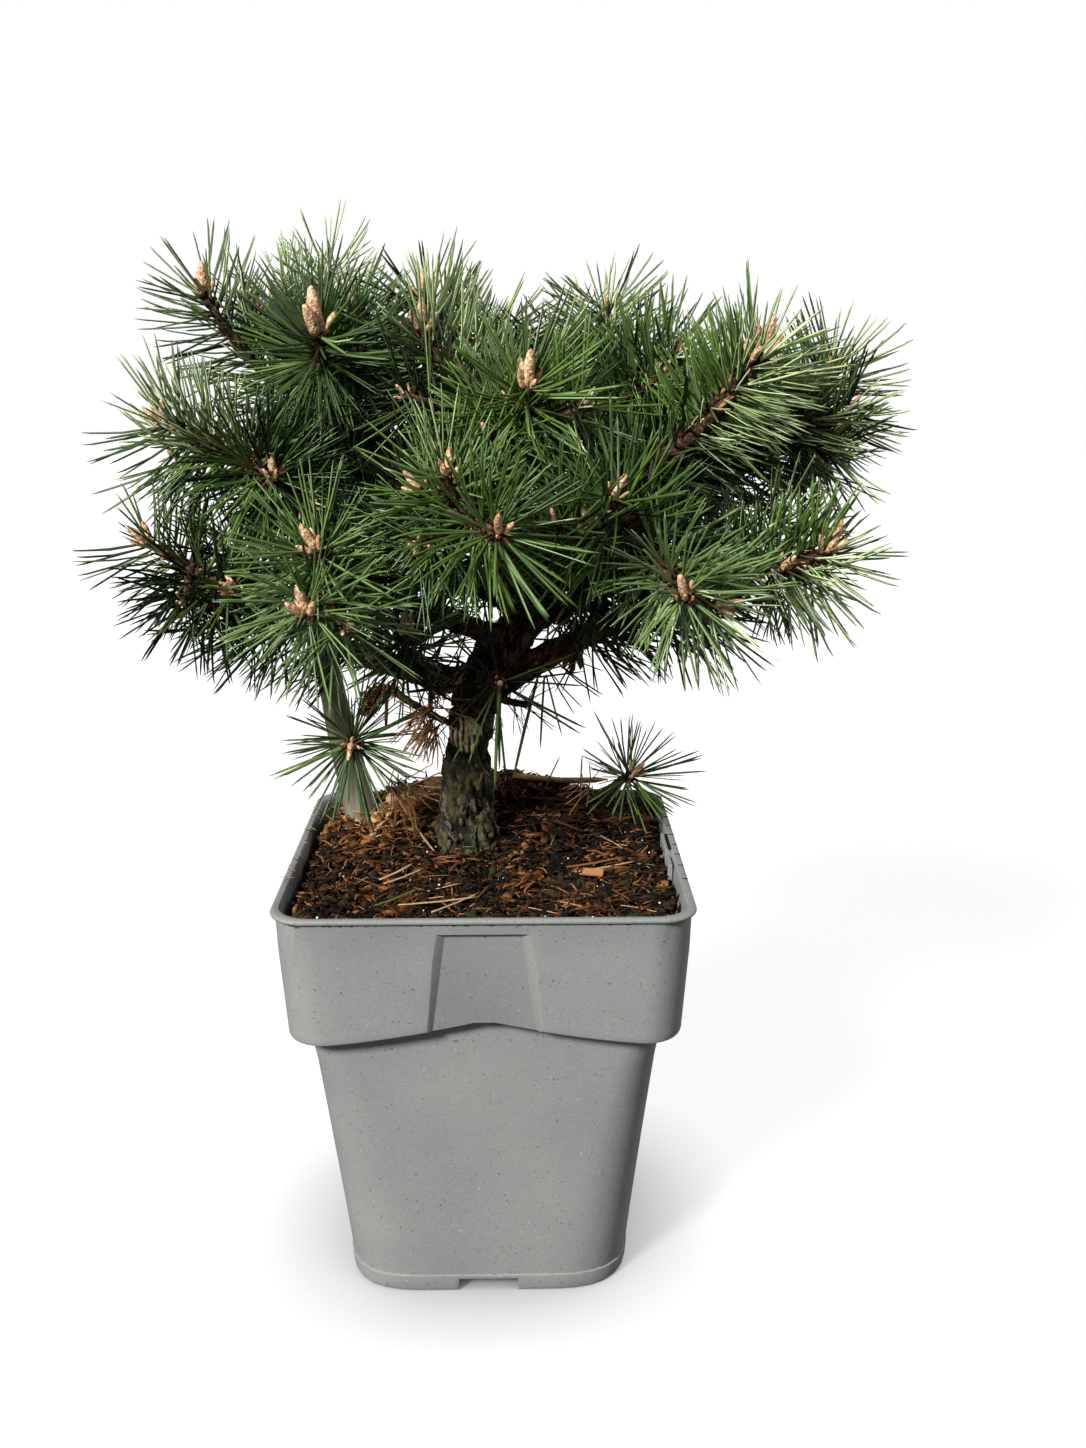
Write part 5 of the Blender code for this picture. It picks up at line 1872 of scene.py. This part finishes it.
def make_peeling_bark():
    """Plates that lift from the old bark, and a few larger red flaps."""
    mesh = skin.data
    grey, red = [], []
    trunk_line, _ = LIMBS["trunk"]
    while len(grey) + len(red) < FLAKES_ON_BARK:
        vert = mesh.vertices[chance.randrange(len(mesh.vertices))]
        place, out = vert.co.copy(), vert.normal.copy()
        off = place - KNOT
        on_knot = math.hypot(off.x / KNOT_WIDE, off.z / KNOT_HIGH) < 1.3 and place.y < 0.0
        if on_knot or mesh.attributes["young"].data[vert.index].value > 0.6:
            continue
        near = min(range(len(trunk_line) - 1), key=lambda i: (trunk_line[i] - place).length)
        along = (trunk_line[near + 1] - trunk_line[near]).normalized()
        along = (along - along.dot(out) * out).normalized()
        along = spin_about(out, along, chance.gauss(0.35, 0.3))
        size = between(*BARK_FLAKE_SIZES)
        lifted = (along + out * between(0.0, 0.22)).normalized()
        matrix = laid_flat(place + out * 0.0002, lifted, out, size, size * 0.42, size * 0.6)
        red_share = RED_ON_BOUGHS if place.z > BOUGHS_FROM else RED_ON_TRUNK
        kind = red if chance.random() < red_share else grey
        kind.append((pick(FLAKES), matrix))
    front = Vector((0.2, -1, 0))
    for place, way, size, wide in FLAP_PLACES:
        way = Vector(way).normalized()
        red.append((FLAKES[0], laid_flat(Vector(place), way, front, size, wide, size * 0.5)))
    lay_loose("bark_flakes_grey", grey, BARK_GREY)
    lay_loose("bark_flakes_red", red, BARK_RED)


make_peeling_bark()

# %% Make the dead twig and the dead needles
TWIG_STEPS = 40
TWIG_SCALES = 150
DEAD_TWIG_RADII = [0.0012, 0.0014, 0.0016, 0.0026, 0.0024]
DEAD_TWIG = (
    (-0.009, 0.0, 0.208), (-0.0152, -0.005, 0.2105), (-0.0263, -0.005, 0.2167),
    (-0.0345, -0.005, 0.2222), (-0.0395, -0.005, 0.2222), (-0.0432, -0.005, 0.2187),
    (-0.0446, -0.005, 0.213),
)
# Foot, tip and radius
DEAD_STUBS = (
    ((-0.0366, -0.0055, 0.2215), (-0.0372, -0.0065, 0.208), 0.0008),
    ((-0.02, 0.0, 0.229), (-0.0208, -0.006, 0.212), 0.0012),
)
# Foot, direction, how many and how long
DEAD_SPRAYS = (
    ((-0.0215, -0.006, 0.213), (-0.5, -0.5, -0.7), 44, 0.0155),
    ((-0.017, -0.007, 0.219), (0.1, -0.7, 0.5), 38, 0.015),
    ((-0.019, -0.005, 0.208), (-0.5, -0.6, -0.9), 26, 0.014),
    ((-0.035, 0.008, 0.183), (0.2, -0.4, -1.0), 22, 0.02),
    ((0.04, 0.02, 0.178), (-0.3, -0.6, 0.2), 18, 0.013),
)
# Long single needles that hang in front of the trunk and at its right: foot, tip and colour
HANGING = (
    ((0.0059, -0.039, 0.233), (0.003, -0.033, 0.1935), "live"),
    ((0.0061, -0.039, 0.233), (0.0048, -0.033, 0.201), "live"),
    ((0.0194, -0.008, 0.2273), (0.0096, -0.008, 0.1901), "live"),
    ((0.022, -0.008, 0.2284), (0.0199, -0.008, 0.2013), "live"),
    ((0.0226, -0.008, 0.2289), (0.028, -0.008, 0.2058), "dead"),
    ((0.0215, 0.035, 0.168), (0.0287, 0.035, 0.1856), "live"),
    ((0.0373, 0.035, 0.1635), (0.0375, 0.035, 0.1861), "dead"),
)
# As on the live needles, the flat side is paler: partly its own colour, partly a painted highlight
DEAD_FINISHES = [
    plain_material("dead needle outer", (0.360, 0.165, 0.068), 0.6, 0.3),
    plain_material("dead needle inner", (0.620, 0.390, 0.200), 0.6, 0.3),
    SHEATH_FINISH,
]

# %% Shape the dead twig and its needles
def make_dead_twig():
    """The curled twig, thicker and ringed at its hanging end, with two stubs."""
    bm = bmesh.new()
    line = smooth_line(DEAD_TWIG, TWIG_STEPS)
    widths = spread(DEAD_TWIG_RADII, TWIG_STEPS)
    radii = [width * (1.14 if i % 2 else 0.9) for i, width in enumerate(widths)]
    grow_tube(bm, line, radii, 8)
    for foot, tip, radius in DEAD_STUBS:
        stub = [Vector(foot).lerp(Vector(tip), i / 5) for i in range(6)]
        grow_tube(bm, stub, [radius * share for share in (1.0, 1.1, 0.9, 1.0, 0.8, 0.5)], 6)
    close_ends(bm)
    hand_over(to_object("dead_twig", bm, [TWIG_FINISH], smooth=False))
    scales = []
    for _ in range(TWIG_SCALES):
        k = chance.randrange(18, len(line) - 1)
        along = (line[k + 1] - line[k]).normalized()
        around = any_side(along)
        way = (along * 0.6 + around).normalized()
        foot = line[k] + around * radii[k] * 1.1
        scales.append((pick(FLAKES), laid_flat(foot, way, along, 0.0026, 0.0012, 0.0018)))
    lay_loose("dead_twig_scales", scales, SCALE_TAN)


def make_dead_needles():
    """Tan sprays and the long needles that hang free."""
    dead, live = [], []
    for foot, way, count, length in DEAD_SPRAYS:
        for _ in range(count):
            spray = Vector(way).normalized() + Vector([chance.gauss(0, 0.55) for _ in range(3)])
            start = Vector(foot) + Vector([chance.gauss(0, 0.0016) for _ in range(3)])
            spray.normalize()
            size = length * between(0.7, 1.25)
            bow = spray.orthogonal().normalized()
            dead.append((pick(NEEDLES), needle_matrix(start, spray, bow, size)))
    for foot, tip, kind in HANGING:
        foot, tip = Vector(foot), Vector(tip)
        way = (tip - foot).normalized()
        matrix = needle_matrix(foot, way, Vector((0.3, -1, 0)), (tip - foot).length)
        (live if kind == "live" else dead).append((NEEDLES[1], matrix))
    hand_over(lay_copies("dead_needles", dead, DEAD_FINISHES))
    hand_over(lay_copies("hanging_needles", live, NEEDLE_FINISHES["bright"]))


make_dead_twig()
make_dead_needles()


# %% [markdown]
# ## Small things on the pot and the mulch
# Two little clips stand inside the rim on the right, with a narrow slot behind them, drawn as
# a near-black block that is painted shade. The rim has thin dirty ticks, and crumbs stick
# under its lip. On the mulch lie a few larger pieces that catch the eye: an orange chip, a pale
# stick, a dark slab of bark and some fresh green needles.

# %% Make the rim clips
# Middle and size of each block
CLIPS = (
    ((0.0692, 0.006, 0.1555), (0.0013, 0.02, 0.006)),
    ((0.069, -0.014, 0.155), (0.0016, 0.011, 0.0064)),
    ((0.07, -0.004, 0.1562), (0.0012, 0.005, 0.004)),
)
SLOT_BLOCK = ((0.0706, 0.0060, 0.1581), (0.0012, 0.0180, 0.0012))
LIP_CRUMBS = 44
SPECK = (0.0178, -0.0660, 0.1170)
TICK_SIZE = (0.0020, 0.0003, 0.0006)
RIM_TICKS = (0.062, 0.048, 0.035, 0.024, 0.013, 0.001, -0.010, -0.022, -0.036)

# %% Blocks, ticks and crumbs
def add_block(bm, middle, size):
    """A block with softened edges."""
    verts = bmesh.ops.create_cube(bm, size=1.0)["verts"]
    bmesh.ops.scale(bm, vec=size, verts=verts)
    bmesh.ops.translate(bm, vec=middle, verts=verts)
    edges = list(dict.fromkeys(edge for vert in verts for edge in vert.link_edges))
    bmesh.ops.bevel(bm, geom=edges, offset=min(size) * 0.2, affect="EDGES", segments=2,
                    profile=0.5, material=-1)


def make_clips():
    """The clips, the slot as a block of painted shade, the dirty ticks, the crumbs under the lip and one
    stray speck.
    """
    bm = bmesh.new()
    for middle, size in CLIPS:
        add_block(bm, middle, size)
    hand_over(to_object("rim_clips", bm, [POT_FINISH], smooth=False))
    bm = bmesh.new()
    add_block(bm, *SLOT_BLOCK)
    for y in RIM_TICKS:
        add_block(bm, (LIP_HALF - 0.0013, y, POT_HEIGHT - 0.0001), TICK_SIZE)
    # One near-black finish serves the slot, as painted shade, and the ticks, as grime
    slot_shade_and_dirt = plain_material("slot shadow", (0.006, 0.006, 0.006), 0.9, 0.1)
    hand_over(to_object("slot_and_ticks", bm, [slot_shade_and_dirt], smooth=False))
    crumbs = []
    for _ in range(LIP_CRUMBS):
        across = between(-0.066, 0.066)
        place = Vector((across, -COLLAR_TOP_HALF - 0.0002, COLLAR_TOP - 0.0002))
        size = between(0.0003, 0.0009)
        stretched = Matrix.Diagonal((size * between(1.0, 3.0), size, size, 1.0))
        crumbs.append((GRAIN, Matrix.Translation(place) @ stretched))
    lay_loose("lip_crumbs", crumbs, MULCH_FINISHES["red"])
    bm = bmesh.new()
    bmesh.ops.create_icosphere(bm, subdivisions=2, radius=0.0008, matrix=Matrix.Translation(SPECK))
    tan = plain_material("tan speck", (0.62, 0.38, 0.26), 0.7, 0.3)
    hand_over(to_object("stray_speck", bm, [tan]))


make_clips()

# %% Where the larger pieces lie
# Middle, direction in the plane, length, width, thickness and colour
BIG_CHIPS = (
    ((-0.0562, -0.006), (0.5, 0.8), 0.008, 0.0028, 0.005, "red"),
    ((0.056, -0.05), (0.4, 0.8), 0.008, 0.0028, 0.005, "red"),
    ((0.008, -0.046), (0.1, 0.9), 0.009, 0.0034, 0.005, "orange"),
    ((0.033, -0.054), (-0.5, 0.8), 0.008, 0.0028, 0.005, "red"),
)
# Torn slabs, each a bundle of shreds: middle, direction, length, width and colours
SLABS = (
    ((0.029, 0.018), (0.8, -0.45), 0.023, 0.011, ("brown", "brown", "red")),
    ((-0.0364, 0.0385), (0.7, 0.6), 0.015, 0.012, ("orange", "tan")),
    ((-0.02, 0.04), (0.9, -0.4), 0.016, 0.014, ("orange", "orange", "tan")),
    ((-0.025, 0.025), (0.6, 0.7), 0.015, 0.013, ("orange", "red")),
    ((-0.043, 0.026), (0.5, 0.8), 0.014, 0.011, ("orange", "tan")),
    ((0.0087, 0.03), (0.5, -0.8), 0.012, 0.009, ("orange", "red")),
    ((-0.026, -0.048), (0.7, 0.6), 0.017, 0.006, ("brown", "red")),
    ((-0.047, -0.02), (0.3, 0.9), 0.014, 0.006, ("orange", "brown")),
    ((0.012, -0.033), (0.5, 0.8), 0.012, 0.007, ("red", "orange")),
    ((0.048, -0.018), (0.9, 0.4), 0.014, 0.006, ("orange", "red")),
    ((0.036, -0.058), (0.9, 0.3), 0.012, 0.006, ("red", "orange")),
    ((-0.015, -0.012), (0.8, -0.5), 0.012, 0.007, ("orange", "red")),
)
SHREDS_PER_SLAB = 22
# One pale chip with cut ends, which leans towards the front
CUT_CHIP = (0.0397, -0.0237)
CUT_CHIP_SIZE = (0.0078, 0.0034, 0.0012)
CUT_CHIP_LEAN = math.radians(16)
CUT_CHIP_TURN = math.radians(-9)
# Two ends, radius and colour
STICKS = (
    ((0.01, 0.042), (0.048, 0.051), 0.0017, "tan"),
    ((0.015, 0.024), (0.048, 0.033), 0.0009, "brown"),
    ((-0.0296, 0.0133), (-0.02, -0.011), 0.0005, "tan"),
    ((-0.039, -0.03), (-0.027, -0.02), 0.0005, "tan"),
    ((-0.037, -0.034), (-0.023, -0.024), 0.0004, "tan"),
    ((-0.018, -0.064), (-0.002, -0.048), 0.0004, "tan"),
    ((-0.03, -0.056), (-0.002, -0.052), 0.0004, "tan"),
    ((0.03, -0.02), (0.052, -0.013), 0.0005, "orange"),
    ((0.033, -0.024), (0.056, -0.016), 0.0004, "tan"),
)
# The two ends of each green needle
FRESH = (
    ((-0.04, -0.058), (-0.029, -0.051)), ((-0.014, -0.005), (-0.008, -0.008)),
    ((-0.03, -0.002), (-0.026, -0.006)),
)
RIM_BITS = 26

# %% Lay the larger pieces on the mulch
def on_bed(x, y, rise):
    """A place just above the mulch."""
    return Vector((x, y, mulch_level(x, y) + rise))


def make_large_pieces():
    """Chips, slabs, sticks and crumbs on the rim, joined by colour, and the green needles."""
    laid = {name: [] for name in MULCH_COLOURS}
    for (x, y), (along_x, along_y), long, wide, thick, colour in BIG_CHIPS:
        along = Vector((along_x, along_y, between(-0.15, 0.25))).normalized()
        out = Vector((between(-0.3, 0.3), -0.35, 1.0)).normalized()
        matrix = laid_flat(on_bed(x, y, 0.0028), along, out, long, wide, thick)
        laid[colour].append((pick(FLAKES[:2]), matrix))
    for (x, y), (along_x, along_y), long, wide, colours in SLABS:
        along = Vector((along_x, along_y, 0.05)).normalized()
        kinds, broad = (FLAKES, 0.55) if "tan" in colours else (SHREDS, 0.9)
        for _ in range(SHREDS_PER_SLAB):
            aside = along.cross(UP) * chance.gauss(0, wide / 3)
            place = on_bed(x + aside.x, y + aside.y, between(0.0015, 0.0045))
            place += along * chance.gauss(0, long * 0.12)
            out = Vector((between(-0.6, 0.6), between(-0.6, 0.3), 1.0)).normalized()
            way = (along + Vector([chance.gauss(0, 0.22) for _ in range(3)])).normalized()
            size = long * between(0.4, 0.9) * (0.6 if kinds is FLAKES else 1.0)
            matrix = laid_flat(place, way, out, size, size * broad, size * 0.6)
            laid[pick(colours)].append((pick(kinds), matrix))
    for start, end, radius, colour in STICKS:
        start, end = on_bed(*start, 0.0045), on_bed(*end, 0.0045)
        middle = (end - start) / (end - start).length
        matrix = needle_matrix(start, middle, UP, (end - start).length)
        slim = radius / (NEEDLE_HALF_WIDTH * (end - start).length)
        laid[colour].append((NEEDLES[1], matrix @ Matrix.Diagonal((slim, slim, 1.0, 1.0))))
    for _ in range(RIM_BITS):
        y, size = between(-0.045, 0.045), between(0.003, 0.0065)
        x = -LIP_HALF + between(0.0006, 0.0040)
        way = Vector((-1.0, between(-0.8, 0.8), between(-0.1, 0.9))).normalized()
        place = Vector((x, y, POT_HEIGHT + 0.0006))
        matrix = laid_flat(place, way, UP, size, size * 0.25, size * 0.5)
        colour = pick(("brown", "black", "brown", "tan"))
        laid[colour].append((pick(SHREDS), matrix))
    for name, copies in laid.items():
        if copies:
            made = lay_copies(f"large_{name}", copies, [MULCH_FINISHES[name]] * 3, smooth=False)
            hand_over(made)
    bm = bmesh.new()
    add_block(bm, (0.0, 0.0, 0.0), CUT_CHIP_SIZE)
    lean = Matrix.Rotation(CUT_CHIP_LEAN, 4, "X") @ Matrix.Rotation(CUT_CHIP_TURN, 4, "Z")
    place = Matrix.Translation(on_bed(*CUT_CHIP, 0.0044))
    bmesh.ops.transform(bm, matrix=place @ lean, verts=bm.verts)
    pale = plain_material("cut chip", (0.340, 0.155, 0.058), 0.85, 0.15)
    hand_over(to_object("cut_chip", bm, [pale], smooth=False))
    green = []
    for start, end in FRESH:
        start, end = on_bed(*start, 0.0045), on_bed(*end, 0.0050)
        way = (end - start).normalized()
        green.append((NEEDLES[2], needle_matrix(start, way, UP, (end - start).length * 1.5)))
    hand_over(lay_copies("fresh_needles", green, NEEDLE_FINISHES["bright"]))


make_large_pieces()


# %% [markdown]
# ## The floor
# A plain pale floor under the pot takes its soft shadow. The camera sees it lit from within, as
# a light table is, so that the shadow stays pale, but that glow doesn't fill the pot's dark side.
# Where the pot stands close, ambient occlusion dims the glow, which paints a soft contact shadow round its
# foot.

# %% Make the floor
FLOOR_SIZE = 8.0
FLOOR_COLOUR = (0.14, 0.14, 0.14)
FLOOR_GLOW = 0.91
CONTACT_SHADE_REACH = 0.055


def make_floor():
    """One flat square, which isn't part of the plant."""
    bm = bmesh.new()
    bmesh.ops.create_grid(bm, x_segments=1, y_segments=1, size=FLOOR_SIZE / 2)
    white = plain_material("white floor", FLOOR_COLOUR, 0.9, 0.1)
    # Ambient occlusion dims the glow near the pot, which paints a contact shadow
    near = add_node(white, "ShaderNodeAmbientOcclusion", Distance=CONTACT_SHADE_REACH, samples=8)
    wire(white, near.outputs["Color"], shader_of(white).inputs["Emission Color"])
    add_when_seen(white.node_tree, shader_of(white).inputs["Emission Strength"], 0.0, FLOOR_GLOW)
    to_object("floor", bm, [white])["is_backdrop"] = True


make_floor()

# %% Compare the sizes and finish
look_low, look_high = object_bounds()
for axis in range(3):
    below, above = look_low[axis] - cad_low[axis], look_high[axis] - cad_high[axis]
    print("XYZ"[axis], round(below, 4), round(above, 4))
